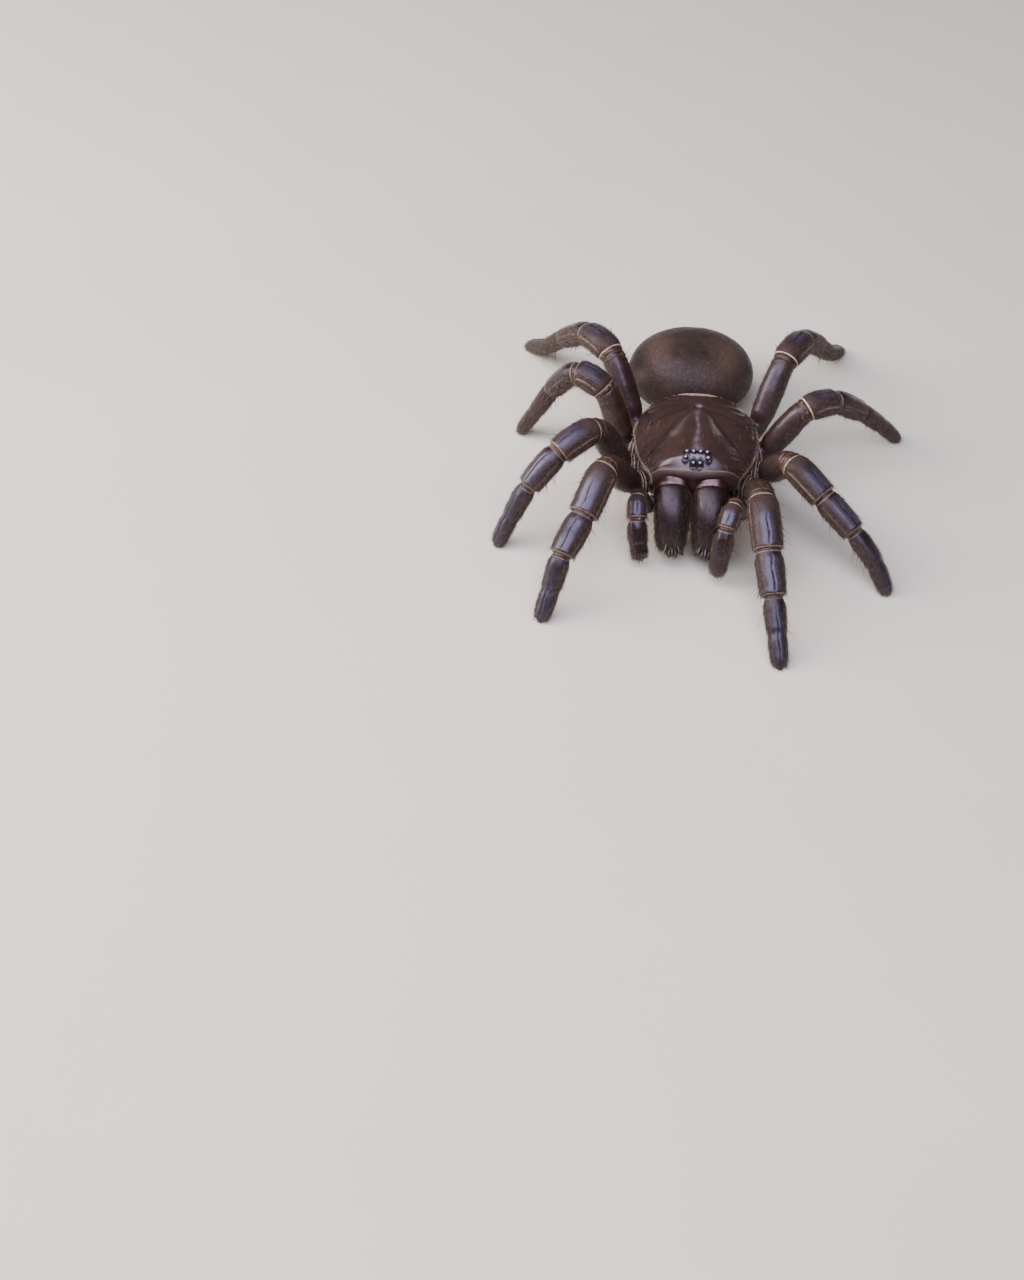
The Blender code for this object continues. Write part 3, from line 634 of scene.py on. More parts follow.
def carapace_chitin(name, colours):
    """Sclerotised chitin over a smooth shield: chocolate brown, glossy, with paler borders, painted shade in
    its grooves and a painted highlight down the middle and round the eyes.
    """
    material, add = new_material(name)
    groove, mark, band, pale, dark = (add(ATTRIBUTE, out="Fac", attribute_name=told)
                                      for told in ("groove", "mark", "band", "pale", "dark"))
    base = colours.carapace
    worn = patches(add, 1.2, 0.25, 0.6, 0.55, 1.0)
    shade = layered(add, darker(base, 0.8),
                    (patches(add, 3.5, 0.3, 0.7), 1.0, base),
                    # Painted shade in the grooves, darker where they are cut deeper
                    (groove, 1.0, darker(base, 0.4)),
                    # Painted highlight: a greyish lavender line down the middle and a patch round the eyes
                    (mark, 1.0, linear("#807588")),
                    (band, worn, linear("#35251F")),
                    (pale, worn, colours.edge),
                    # Black pigment round the eyes, and painted shade in the notch and the furrow over the
                    # front band
                    (dark, 1.0, linear("#120C0C")))
    gloss = summed(add, patches(add, 0.9, 0.3, 0.7, 0.25, 0.36), (band, 0.4))
    pits = summed(add, 0.0, (mottle(add, 0.5), 0.7), (mottle(add, 0.16), 0.3))
    settings = {"IOR": 1.55, "Specular Tint": linear("#DAD2EC"), "Coat Weight": 0.15, "Coat Roughness": 0.14,
                "Coat IOR": 1.5}
    return settled(material, settings, shade, gloss, pits, strength=0.55)


def joint_skin(name, tan):
    """Arthrodial membrane, soft and unsclerotised: matt pale tan, finely creased across."""
    material, add = new_material(name)
    shade = layered(add, darker(tan, 0.35),
                    (patches(add, 0.7, 0.35, 0.7), 1.0, tan),
                    (patches(add, 1.6, 0.55, 0.7), 0.5, linear("#A88468")))
    settings = {"IOR": 1.45, "Roughness": 0.5, "Subsurface Weight": 0.15, "Subsurface Scale": 0.0006}
    return settled(material, settings, shade, relief=mottle(add, 0.25), depth=0.06)


def abdomen_cuticle(name, base, sheen):
    """Abdominal cuticle, thin and elastic under fine hair: dull grey-brown, wrinkled, with a cool bloom."""
    material, add = new_material(name)
    flank, heart = (add(ATTRIBUTE, out="Fac", attribute_name=told) for told in ("flank", "heart"))
    shade = layered(add, darker(base, 0.7),
                    (patches(add, 5.0, 0.3, 0.7), 1.0, base),
                    # Paler patches on both sides, partly painted light; then the dark heart mark, partly
                    # painted shade
                    (flank, 1.0, linear("#634D42")),
                    (heart, 1.0, darker(base, 0.5)),
                    (patches(add, 0.45, 0.62, 0.74, detail=1.0), 0.2, linear("#8C7A6C")))
    creases = summed(add, mottle(add, 0.9), (mottle(add, 0.25), 0.5))
    settings = {"IOR": 1.36, "Specular Tint": linear("#DCD0E4"), "Sheen Weight": 0.03, "Sheen Roughness": 0.5,
                "Sheen Tint": sheen}
    return settled(material, settings, shade, patches(add, 1.5, 0.3, 0.7, 0.4, 0.52), creases, 0.1, 0.6)


def eye_lens(name):
    """Corneal lens, smooth and wet-looking: navy black round its edge, with a glint, and a pale pearly spot
    on the side that faces up and forward, partly its own colour and partly a painted reflection.
    """
    material, add = new_material(name)
    facing = add(ATTRIBUTE, out="Fac", attribute_name="facing")
    # Pale pearly spot where the lens faces up and forward: partly its own colour, partly a painted reflection
    pearl_and_painted_glint = add(MAP_RANGE, (facing, 0.78, 0.94), **SOFT_STEP)
    cloud = patches(add, 0.3, 0.3, 0.7, 0.6, 1.0)
    shade = layered(add, linear("#07070F"), (pearl_and_painted_glint, cloud, linear("#918EA8")))
    settings = {"IOR": 1.5, "Coat Weight": 0.3, "Coat Roughness": 0.1}
    return settled(material, settings, shade, patches(add, 0.3, 0.3, 0.7, 0.08, 0.16))


def fang_chitin(name):
    """Heavily tanned chitin, hard and polished by use: near black, reddish at the thin tip."""
    material, add = new_material(name)
    shade = layered(add, linear("#140B0A"), (patches(add, 1.2, 0.3, 0.7), 1.0, linear("#2A1210")))
    settings = {"IOR": 1.5, "Coat Weight": 0.15, "Coat Roughness": 0.12}
    gloss = patches(add, 0.5, 0.3, 0.7, 0.3, 0.42)
    return settled(material, settings, shade, gloss, mottle(add, 0.3), 0.02, 0.4)


def seta_chitin(name, root, tip, roughness=0.42):
    """Setae, each a tapering hollow bristle: dark at the root and paler where it thins."""
    material, add = new_material(name)
    along = add(SEPARATE, (add(ATTRIBUTE, out="Vector", attribute_name="patch"),), "Y")
    shade = layered(add, root,
                    (add(MAP_RANGE, (along, 0.1, 0.9), **SOFT_STEP), 1.0, tip),
                    (patches(add, 1.0, 0.4, 0.7), 0.5, darker(root, 0.6)))
    gloss = patches(add, 0.8, 0.3, 0.7, roughness - 0.07, roughness + 0.08)
    return settled(material, {"IOR": 1.5}, shade, gloss)


def finish_of(name):
    """A material made once and shared."""
    if name in bpy.data.materials:
        return bpy.data.materials[name]
    colours = bpy.context.scene.spider_colours
    root, tip, velvet = colours.hair, colours.hair_tip, colours.abdomen
    makers = {
        "sclerotised_chitin_carapace": (carapace_chitin, colours),
        "sclerotised_chitin_limb": (limb_chitin, colours, colours.limb),
        "sclerotised_chitin_foot": (limb_chitin, colours, colours.foot, (0.34,), 0.38, 0.25),
        "sclerotised_chitin_femur": (limb_chitin, colours, colours.femur, TROCHANTER_RINGS, 0.32),
        "sclerotised_chitin_jaw": (jaw_chitin, colours.jaw),
        "arthrodial_membrane": (joint_skin, colours.tan),
        "abdominal_cuticle": (abdomen_cuticle, colours.abdomen, colours.sheen),
        "corneal_lens": (eye_lens,),
        "polished_fang_chitin": (fang_chitin,),
        "limb_setae": (seta_chitin, root, tip),
        "carapace_setae": (seta_chitin, darker(tip, 0.7), tip),
        "jaw_setae": (seta_chitin, darker(root, 0.35), darker(tip, 0.65)),
        "abdomen_setae": (seta_chitin, darker(velvet, 0.95), darker(velvet, 1.2), 0.65),
    }
    maker, *values = makers[name]
    return maker(name, *values)


# Carapace

def carapace_half_width(forward):
    """Half the shield's width at each place along it."""
    half_length = (WIDEST_AT - REAR) / math.sqrt(1 - (REAR_HALF_WIDTH / HALF_WIDTH) ** 2)
    behind = HALF_WIDTH * np.sqrt(np.maximum(1 - ((WIDEST_AT - forward) / half_length) ** 2, 0.0))
    share = np.clip((forward - WIDEST_AT) / (FRONT - WIDEST_AT), 0.0, 1.0)
    ahead = HALF_WIDTH - (HALF_WIDTH - FRONT_HALF_WIDTH) * share ** FRONT_TAPER
    return np.where(forward < WIDEST_AT, behind, ahead)


def carapace_height(side, forward):
    """Height of the carapace's plain top above its rim plane, as the solid has it."""
    across = np.minimum(np.abs(side) / carapace_half_width(forward), 1.0)
    rounded = (1 - across ** 2.4) ** 0.62
    height = REAR_HEIGHT + (THORAX_HEIGHT - REAR_HEIGHT) * smooth(REAR - 2.0, FOVEA_AT, forward)
    head_half = between(HEAD_HALF_WIDTHS, forward)[0]
    head = between(HEAD_RISE, forward)[0] * (1 - smooth(0.25, 1.0, np.abs(side) / head_half))
    squarer = CLYPEUS_HEIGHT * smooth(2.0, FRONT, forward) * ((1 - across ** 4.0) ** 0.5 - rounded)
    fovea = FOVEA_DEPTH * np.exp(-(side / 1.7) ** 2 - (forward - FOVEA_AT - 0.1 * side * side) ** 2)
    mound = EYE_MOUND * np.exp(-(side / 3.0) ** 4 - ((forward - EYES_AT) / 2.1) ** 4)
    notch = CLYPEUS_NOTCH * np.exp(-(side / 1.2) ** 2) * smooth(FRONT - 2.5, FRONT, forward)
    return height * rounded + head + squarer - fovea + mound - notch


def carapace_point(side, forward, up):
    """A point of the shield, whose front edge is bowed back towards its corners."""
    across = side / carapace_half_width(forward)
    return body_point(side, forward - FRONT_BOW * across ** 2 * smooth(BOW_FROM, FRONT, forward), up)


def eye_places():
    """Name, middle and radius of each eye."""
    for name, (side, ahead, radius) in EYES.items():
        forward = EYES_AT + ahead
        up = float(carapace_height(np.array(side), np.array(forward))) + radius * 0.2
        for side_name, sign in SIDES.items():
            yield f"eye_{name}_{side_name}", carapace_point(sign * side, np.array(forward), up), radius


def from_eyes(side, forward):
    """How far outside each eye's lens the shield's points lie."""
    return [np.hypot(np.abs(side) - eye_side, forward - EYES_AT - ahead) - radius
            for eye_side, ahead, radius in EYES.values()]


def groove_cuts(side, forward):
    """How deep each groove is cut at the shield's points."""
    inside = carapace_half_width(forward) - np.abs(side)
    for ray_side, ray_forward, depth, width, bend in GROOVES:
        size = math.hypot(ray_side, ray_forward)
        ahead = (np.abs(side) * ray_side + (forward - FOVEA_AT) * ray_forward) / size
        off = (np.abs(side) * ray_forward - (forward - FOVEA_AT) * ray_side) / size
        ends = smooth(0.8, 3.0, ahead) * smooth(0.6, 3.0, inside)
        yield depth * hump(off, -bend * ahead * ahead, width) * ends


def carapace_relief(side, forward, lip):
    """Fine relief above the plain top: grooves, border, eye rims and the furrow over the front band."""
    inside = carapace_half_width(forward) - np.abs(side)
    front = FRONT - forward
    relief = lip * hump(inside, 0.35, 0.3) - 0.1 * hump(inside, 1.1, 0.35) - sum(groove_cuts(side, forward))
    relief -= 0.2 * hump(front, CLYPEUS_BAND + 0.15, 0.24) * smooth(0.0, 1.5, inside)
    relief += 0.12 * hump(front, 0.5 * CLYPEUS_BAND, 0.4)
    relief += 0.05 * np.sin((forward - FOVEA_AT) * 2.1 + side * 1.3) * smooth(4.0, 9.0, np.abs(side))
    return relief + sum(0.16 * hump(away, 0.1, 0.16) for away in from_eyes(side, forward))


def carapace_marks(side, forward):
    """The numbers that the shield's colours follow."""
    inside = carapace_half_width(forward) - np.abs(side)
    front = FRONT - forward

    # Dark: black pigment round the eyes, and painted shade in the notch and in the furrow over the front band
    eye_rims = 1 - smooth(0.3, 0.5, np.min(from_eyes(side, forward), axis=0))
    notch = 0.7 * hump(side, 0.0, 0.16) * (1 - smooth(0.9, 1.4, front))
    furrow = 0.6 * hump(front, CLYPEUS_BAND + 0.12, 0.12) * smooth(0.3, 1.0, inside)

    # Pale: the front band's lower edge, the border and the crescent at the rear
    band = (1 - smooth(CLYPEUS_BAND - 0.2, CLYPEUS_BAND, front)) * smooth(0.1, 1.0, inside)
    lower_edge = 0.22 * hump(front, CLYPEUS_BAND - 0.3, 0.16)
    border = 0.45 * hump(inside, 0.18, 0.1) * smooth(WIDEST_AT - 6.0, WIDEST_AT + 4.0, forward)
    crescent = 2.3 * (1 - (side / 6.6) ** 2)
    rear = 0.8 * (1 - smooth(crescent - 0.3, crescent + 0.3, forward - REAR))

    # Painted highlight, greyish lavender: a wandering line down the middle and a patch round the eyes
    wander = 0.2 * np.sin(forward * 0.6 + 0.6)
    highlight_line_width = 0.35 + 0.5 * smooth(0.0, EYES_AT, forward) + 0.9 * (1 - smooth(FOVEA_AT, -2.0, forward))
    line = 0.4 * hump(side, wander, highlight_line_width) * (0.75 + 0.25 * np.sin(forward * 2.3))
    line *= smooth(FOVEA_AT + 0.5, FOVEA_AT + 4.0, forward) * (1 - smooth(EYES_AT - 1.0, EYES_AT, forward))
    highlight_patch_width = 1.3 + 3.5 * smooth(EYES_AT - 2.0, FRONT - CLYPEUS_BAND, forward)
    patch = 0.8 * np.exp(-(side / highlight_patch_width) ** 4) * smooth(EYES_AT - 3.8, EYES_AT - 1.0, forward)
    patch *= 1 - smooth(FRONT - CLYPEUS_BAND - 0.1, FRONT - CLYPEUS_BAND, forward)

    # Painted shade in the grooves, from how deep they are cut
    groove = np.clip(2.0 * np.max(list(groove_cuts(side, forward)), axis=0), 0, 0.6)
    return {"groove": groove, "mark": np.maximum(line, patch), "band": band,
            "pale": np.maximum.reduce((lower_edge, border, rear)),
            "dark": 0.95 * np.maximum.reduce((eye_rims, notch, furrow))}


def carapace_shape(lip):
    """The shield: a fine grid over the top, rolled round its rim to a flat underside."""
    stations, across = 191, 151
    t = (1 - np.cos(np.linspace(0, math.pi, stations))) / 2
    line = REAR + (FRONT - REAR) * (0.55 * t + 0.45 * np.linspace(0, 1, stations))
    to_end = np.minimum(FRONT - line, line - REAR)
    pulled = 0.5 * drawn_in(1 - np.clip(to_end / 0.55, 0, 1))[:, None]
    full_width = carapace_half_width(line)[:, None]
    half_width = full_width - pulled
    angles = np.linspace(0, math.pi, across)
    forward = np.repeat(line[:, None], across, 1)
    side = -half_width * np.cos(angles)[None, :]
    height = carapace_height(side * (full_width / half_width), forward)
    grain = speckle(np.stack((side, forward, height), -1), 1.6, 2) * 0.035
    relief = carapace_relief(side, forward, lip)
    height = np.maximum(height + relief - pulled, 0.0) + grain * np.sin(angles)[None, :]
    values = carapace_marks(side, forward)

    # Round the rim and under it
    rest = [(half_width + grown, drop) for grown, drop in RIM_WALL]
    rest += [(half_width * share, -RIM_THICKNESS) for share in (0.6, 0.2, -0.2, -0.6)]
    rest += [(-(half_width + grown), drop) for grown, drop in reversed(RIM_WALL)]
    side = np.hstack((side, *(place for place, _ in rest)))
    up = np.hstack((height, *(np.full_like(half_width, drop) for _, drop in rest)))
    values = {name: np.pad(value, ((0, 0), (0, len(rest)))) for name, value in values.items()}
    values["pale"][:, across] = values["pale"][:, across - 1]
    values["pale"][:, -1] = values["pale"][:, 0]

    # Over the front face, towards its middle
    shares, fading = np.array(FRONT_FACE).T[..., None]
    middle = up[-1].mean()
    face = carapace_point(side[-1] * shares, FRONT, middle + (up[-1] - middle) * shares)
    rings = np.concatenate((carapace_point(side, line[:, None], up), face))
    values = {name: np.concatenate((value, value[-1] * fading)) for name, value in values.items()}
    return tube(rings, rings[0].mean(0), rings[-1].mean(0), values)


# Limbs

def direction(side, yaw, lift):
    """A direction by its turn from straight ahead and its lift, in degrees."""
    y, e = math.radians(yaw), math.radians(lift)
    return np.array((side * math.sin(y) * math.cos(e), -math.cos(y) * math.cos(e), math.sin(e)))


def leg_corners(side_name, pair):
    """Where a leg's joints are, from its coxa's end to its tip on the floor."""
    side = SIDES[side_name]
    root = mirrored(LEG_ROOTS[pair], side)
    inward = unit(mirrored(COXA_STARTS[pair], side) - root)
    yaw, turn, lifts = LEG_POSES[side_name, pair]
    lengths = LEG_LENGTHS[pair]
    corners = [root + inward * TROCHANTER, root]
    for k, (lift, long) in enumerate(zip(lifts, lengths)):
        corners.append(corners[-1] + direction(side, yaw + (turn if k else 0), lift) * long)
    last_lift = -math.degrees(math.asin((corners[-1][2] - TIP_HEIGHT) / lengths[-1]))
    corners.append(corners[-1] + direction(side, yaw + turn, last_lift) * lengths[-1])
    return corners


def palp_corners(side_name):
    """Where a palp's joints are, from its coxa's end to its tip."""
    root, *others = (np.array(place) for place in PALP_CORNERS[side_name])
    inward = unit(mirrored(PALP_COXA_START, SIDES[side_name]) - root)
    return [root + inward * PALP_TROCHANTER, root, *others]


def corner_curve(before, corner, after, bend, low, high, steps=14):
    """The rounded line past a corner, from share low to share high of its bend."""
    bend = min(bend, 0.48 * np.linalg.norm(before - corner), 0.48 * np.linalg.norm(after - corner))
    a = corner + unit(before - corner) * bend
    b = corner + unit(after - corner) * bend
    t = np.linspace(low, high, steps)[:, None]
    return a * (1 - t) ** 2 + corner * (2 * t * (1 - t)) + b * t * t


def centre_line(corners, first, last, bend):
    """The rounded line between the middles of two joints, trimmed for the gap."""
    line = [corners[0][None]] if first == 0 else [corner_curve(*corners[first - 1:first + 2], bend, 0.5, 1.0)]
    for k in range(first + 1, last):
        line.append(corner_curve(*corners[k - 1:k + 2], bend, 0.0, 1.0))
    if last == len(corners) - 1:
        line.append(corners[-1][None])
    else:
        line.append(corner_curve(*corners[last - 1:last + 2], bend, 0.0, 0.5))
    line = np.vstack(line)
    line = line[np.append(True, np.linalg.norm(np.diff(line, axis=0), axis=1) > 1e-6)]
    line[0] += unit(line[1] - line[0]) * GAP / 2
    if last < len(corners) - 1:
        line[-1] -= unit(line[-1] - line[-2]) * GAP / 2
    return line


def along_line(line, spacing, end_steps=7):
    """Points, tangents and distances along a line, closer at both ends, and its length."""
    steps = np.append(0.0, np.cumsum(np.linalg.norm(np.diff(line, axis=0), axis=1)))
    total = steps[-1]
    end_length = 0.6
    middle = np.linspace(end_length, total - end_length, max(4, round((total - 2 * end_length) / spacing)))
    ends = end_length * (1 - np.cos(np.linspace(0, math.pi / 2, end_steps)))[:-1]
    s = np.concatenate((ends, middle, (total - ends)[::-1]))
    places = (s, np.minimum(s + 0.5, total), np.maximum(s - 0.5, 0))
    points, ahead, back = (np.stack([np.interp(place, steps, axis) for axis in line.T], -1)
                           for place in places)
    return points, unit(ahead - back), s, total


def limb_axes(tangents):
    """The level direction across a line and the one square to both."""
    side = unit(np.cross(tangents, UP))
    return side, np.cross(side, tangents)


def crowded_angles(columns):
    """Angles round a section, closer along its top than along its bottom."""
    turn = turns(columns, 0.5) - math.pi
    return math.pi / 2 + turn - 0.62 * np.sin(turn)


def limb_shape(corners, first, last, bend, stations, thickness, kind):
    """One segment as a fine closed tube with rounded lips, and the numbers that its colours follow."""
    points, tangents, s, total = along_line(centre_line(corners, first, last, bend), 0.3)
    half_width, half_height = (value * thickness for value in between(stations, s / total))
    is_tip = last == len(corners) - 1
    to_end = total - s
    lip_end = np.zeros_like(s) if is_tip else np.clip(1 - to_end / LIP_LENGTH, 0, 1)
    lip = LIP_LENGTH * drawn_in(np.maximum(np.clip(1 - s / LIP_LENGTH, 0, 1), lip_end))
    welts = 0.09 * hump(to_end, 0.75, 0.3) * (not is_tip)
    if kind == "femur":
        welts = welts + sum(0.09 * hump(s, middle, 0.2) for middle in TROCHANTER_RINGS)
    grown = welts - lip
    angles = crowded_angles(64)
    across, up = section(angles[None, :], (half_width + grown)[:, None], (half_height + grown)[:, None])
    dorsal = np.clip(np.sin(angles), 0, 1)[None, :]
    middle = (smooth(0.8, 2.2, s) * smooth(0.5, 1.2, to_end))[:, None]
    share = (s / total)[:, None]
    start_streak, end_streak, start_edge, end_edge, side_edge, dull_until = SEGMENT_LOOKS[kind]
    # The streak's span along the top also places the painted highlight on the top
    streak = dorsal * middle * smooth(start_streak, end_streak, share)
    wander = 0.12 * np.sin(s * 1.1 + first)[:, None]
    up = up - STREAK_DEPTH * hump(across, wander, STREAK_HALF_WIDTH) * streak
    side_line = hump(up, 0.3 * half_height[:, None], 0.12) * middle * side_edge
    side, lift = limb_axes(tangents)
    rings = laid(points, side, lift, across, up)
    rings = rings + lift[:, None] * (speckle(rings, 0.9, 5) * 0.03 * dorsal)[..., None]
    along = np.broadcast_to(s[:, None], across.shape)
    flat = np.ones(across.shape)
    values = {
        "place": np.stack((across - wander, up, along), -1),
        "to_end": total - along + (20.0 if is_tip else 0.0),
        "streak": streak,
        "edges": np.stack((flat * start_edge, flat * end_edge, side_line), -1),
        "dull": flat * (1 - smooth(dull_until - 0.12, dull_until + 0.12, share)),
    }
    start_pole = points[0] + tangents[0] * 0.3
    end_pole = points[-1] + tangents[-1] * (0.3 if is_tip else -0.3)
    if kind == "foot":
        rings[..., 2] = np.maximum(rings[..., 2], 0.0)
        end_pole[2] = max(end_pole[2], 0.05)
    return tube(rings, start_pole, end_pole, values)


def joint_shape(corners, k, bend, radius):
    """The soft skin that shows between two segments at one corner."""
    line = corner_curve(*corners[k - 1:k + 2], bend, 0.5 - JOINT_REACH, 0.5 + JOINT_REACH, 15)
    t = np.linspace(-1, 1, len(line))
    creased = radius * (0.9 + 0.06 * np.cos(t * math.pi * 3.5) - 0.2 * t ** 4)
    axes = limb_axes(unit(np.gradient(line, axis=0)))
    return tube(laid(line, *axes, *round_section(36, creased)), line[0], line[-1])


def claw_shape(root, along, side, sign):
    """One of a foot's two small curved claws."""
    t = np.linspace(0, 1, 7)[:, None]
    arch = 0.18 * np.sin(t * math.pi) - 0.05 * t
    line = root + along * t * 0.9 + side * sign * (0.28 + 0.15 * t) + UP * arch
    line[:, 2] = np.maximum(line[:, 2], 0.1)
    tangents = unit(np.gradient(line, axis=0))
    radius = CLAW_RADIUS * (1 - 0.85 * t[:, 0])
    rings = laid(line, *limb_axes(tangents), *round_section(8, radius, 2.0))
    rings[..., 2] = np.maximum(rings[..., 2], 0.0)
    return tube(rings, line[0] - tangents[0] * 0.1, line[-1])


def segment_bend(bend, kind):
    """The foot bends a little more tightly than the knee."""
    return bend * 0.8 if kind == "foot" else bend


def leg(side_name, pair):
    """Name, corners, segments, bend and thickness of a leg."""
    return f"leg_{pair}_{side_name}", leg_corners(side_name, pair), SEGMENTS, KNEE_BEND, LEG_THICKNESS[pair]


def palp(side_name):
    """Name, corners, segments, bend and thickness of a palp."""
    return f"palp_{side_name}", palp_corners(side_name), PALP_SEGMENTS, PALP_BEND, 1.0


def make_limb(name, corners, segments, bend, thickness):
    """Makes a limb's skins, its joint skin and its claws."""
    skins = []
    for kind, first, last, stations in segments:
        finish = finish_of(f"sclerotised_chitin_{kind if kind in ('femur', 'foot') else 'limb'}")
        curve = segment_bend(bend, kind)
        shape = limb_shape(corners, first, last, curve, stations, thickness, kind)
        keep(add_piece(f"{name}_{kind}_skin", shape, finish), "limb_chitin", f"{name}_{kind}")
        if first:
            skins.append(joint_shape(corners, first, curve, stations[0][1] * thickness))
    keep(add_piece(f"{name}_joint_skin", merge(skins), finish_of("arthrodial_membrane")), "limb_chitin")
    along = unit(corners[-1] - corners[-2])
    side, _ = limb_axes(along)
    claws = [claw_shape(corners[-1] + along * 0.1, along, side, sign) for sign in (-1, 1)]
    keep(add_piece(f"{name}_claws", merge(claws), finish_of("polished_fang_chitin")), "fang_chitin")


# Chelicerae

def chelicera_line(sign, u):
    """Middle, raised direction, half width and half height of a jaw's sections."""
    forward, up, half_width, half_height = flowing(CHELICERA, u).T
    slope = np.gradient(np.stack((forward, up)), u, axis=1)
    ahead, rise = slope / np.hypot(*slope)
    rise = rise * smooth(0.0, CHELICERA_SETTLED, u)
    raised = unit(body_point(0, -rise, ahead) - body_point(0, 0, 0))
    side = CHELICERAE_MIDDLE + sign * (CHELICERA_SIDE - CHELICERA_TURN_IN * u)
    return body_point(side, FRONT + forward, up), raised, half_width, half_height


def chelicera_rings(sign, u, angles, grow):
    """Rings of a jaw's skin, bowed back at its base as the shield's front edge is."""
    middle, raised, half_width, half_height = chelicera_line(sign, u)
    across, up = section(angles[None, :], (half_width + grow)[:, None], (half_height + grow)[:, None], 2.4)
    rings = laid(middle, ACROSS * sign, raised, across, up)
    at_base = np.clip(1 - u * (len(CHELICERA) - 1), 0, 1)[:, None]
    bow = FRONT_BOW * (rings[..., 0] / FRONT_HALF_WIDTH) ** 2 * at_base
    return rings - AHEAD * bow[..., None], across


def chelicera_shape(sign):
    """A jaw with its raised collar and the seam below it."""
    rounded = 0.03
    angles = turns(72, 0.5) - math.pi / 2
    u = np.concatenate((np.linspace(0, rounded, 6)[:-1], np.linspace(rounded, 1 - rounded, 76),
                        np.linspace(1 - rounded, 1, 8)[1:]))
    end = np.maximum(np.clip(1 - u / rounded, 0, 1), np.clip((u - (1 - rounded)) / rounded, 0, 1))
    relief = 0.1 * hump(u, COLLAR_END - 0.07, 0.05) - 0.16 * hump(u, COLLAR_END, 0.014)
    rings, across = chelicera_rings(sign, u, angles, relief - 0.45 * drawn_in(end))
    along = np.broadcast_to(u[:, None], across.shape)
    near = 1 - smooth(COLLAR_END - 0.02, COLLAR_END, along)
    top = smooth(0.1, 0.5, np.sin(angles))[None, :]
    # The collar's colour lies only on its top: pink, and partly a painted highlight
    values = {"collar": near * top * (1 - smooth(1.0, 2.2, np.abs(across + 0.4))) * 0.9,
              "skin": near * 0.9,
              "seam": 0.8 * hump(along, COLLAR_END, 0.011)}
    return tube(rings, rings[0].mean(0), rings[-1].mean(0), values)


def rastellum_shapes(sign):
    """The blunt digging spines on a jaw's lower front."""
    side = ACROSS * sign
    for share, angle in RASTELLUM:
        nearby = np.array((share - 0.01, share, share + 0.01))
        middle, raised, half_width, half_height = (value[1] for value in chelicera_line(sign, nearby))
        c, s = math.cos(math.radians(angle)), math.sin(math.radians(angle))
        surface = middle + side * half_width * c + raised * half_height * s
        along = unit(unit(side * c + raised * s) + np.cross(raised, -ACROSS) * SPINE_DOWNWARD)
        aside = unit(np.cross(along, ACROSS))
        t = np.linspace(0, 1, 12)
        line = (surface - along * SPINE_SUNK) + along * (t * (SPINE_LENGTH + SPINE_SUNK))[:, None]
        radius = SPINE_RADIUS * np.sqrt(1 - t ** 2 * 0.93)
        rings = laid(line, aside, np.cross(aside, along), *round_section(14, radius, 2.0))
        yield tube(rings, line[0], line[-1] + along * 0.05)


def fang_shape(sign):
    """A long curved fang, folded back under its jaw."""
    forward, up, radius = flowing(FANG, np.linspace(0, 1, 60)).T
    line = body_point(CHELICERAE_MIDDLE + sign * (CHELICERA_SIDE - CHELICERA_TURN_IN), forward, up)
    tangents = unit(np.gradient(line, axis=0))
    rings = laid(line, ACROSS, np.cross(ACROSS, tangents), *round_section(32, radius, 2.0))
    return tube(rings, line[0], line[-1] + tangents[-1] * 0.15)


# Underside and abdomen

def stub_shape(start, end, radii):
    """A rounded stub that ends half a gap short of its end point."""
    start, end = np.array(start, float), np.array(end, float)
    along = unit(end - start)
    total = np.linalg.norm(end - start) - GAP / 2
    t = np.concatenate((np.linspace(0, 0.9, 24)[:-1], 0.9 + 0.1 * np.sin(np.linspace(0, math.pi / 2, 9))))
    to_end = (1 - t) * total
    radius = np.interp(t, STUB_SHARES, radii) - 0.5 * drawn_in(np.clip(1 - to_end / 0.6, 0, 1))
    radius = radius + 0.08 * hump(to_end, 0.8, 0.3)
    across, lift = round_section(48, radius)
    line = start + along * (t * total)[:, None]
    flat = np.zeros(across.shape)
    values = {"place": np.stack((across, lift, flat + (t * total + 5.0)[:, None]), -1),
              "to_end": flat + to_end[:, None], "streak": flat,
              "edges": np.stack((flat, flat + 0.8, flat), -1), "dull": flat}
    return tube(laid(line, *limb_axes(along), across, lift), line[0], line[-1], values)


def core_shape():
    """The body under the shield, whose floor is the breastplate."""
    t = np.linspace(0, 1, 14)
    levels = np.append(CORE_BOTTOM + 2.2 * (1 - np.cos(t * math.pi / 2)), CORE_TOP)
    shares = np.append(0.3 + 0.7 * np.sin(t * math.pi / 2) ** 0.5, 1.0)[:, None]
    around = turns(72)
    side = CORE_HALF_WIDTH * shares * np.cos(around) * (1 - 0.16 * np.sin(around))
    forward = CORE_HALF_LENGTH * shares * np.sin(around)
    rings = body_point(side, forward, levels[:, None])
    flat = np.zeros(side.shape)
    values = {"place": np.stack((side, forward, flat + 9.0), -1), "to_end": flat + 9.0, "streak": flat,
              "edges": np.stack((flat, flat, flat), -1), "dull": flat}
    return tube(rings, rings[0].mean(0), rings[-1].mean(0), values)


def abdomen_points(around, along):
    """Points of the abdomen's skin: along runs 0 to pi from front to rear, around about it."""
    back = -np.cos(along)
    reach = np.where(along < math.pi / 2, ABDOMEN_FRONT_LENGTH, ABDOMEN_REAR_LENGTH)
    thick = np.maximum(np.sin(along), 0.0) ** np.where(back > 0, 0.94, 1.0)
    crown = 1.0 + 0.05 * np.sin(around)
    place = np.stack((ABDOMEN_HALF_WIDTH * thick * np.cos(around) * crown,
                      back * reach * np.ones_like(around),
                      ABDOMEN_HALF_HEIGHT * thick * np.sin(around)), -1)
    return ABDOMEN_MIDDLE + place


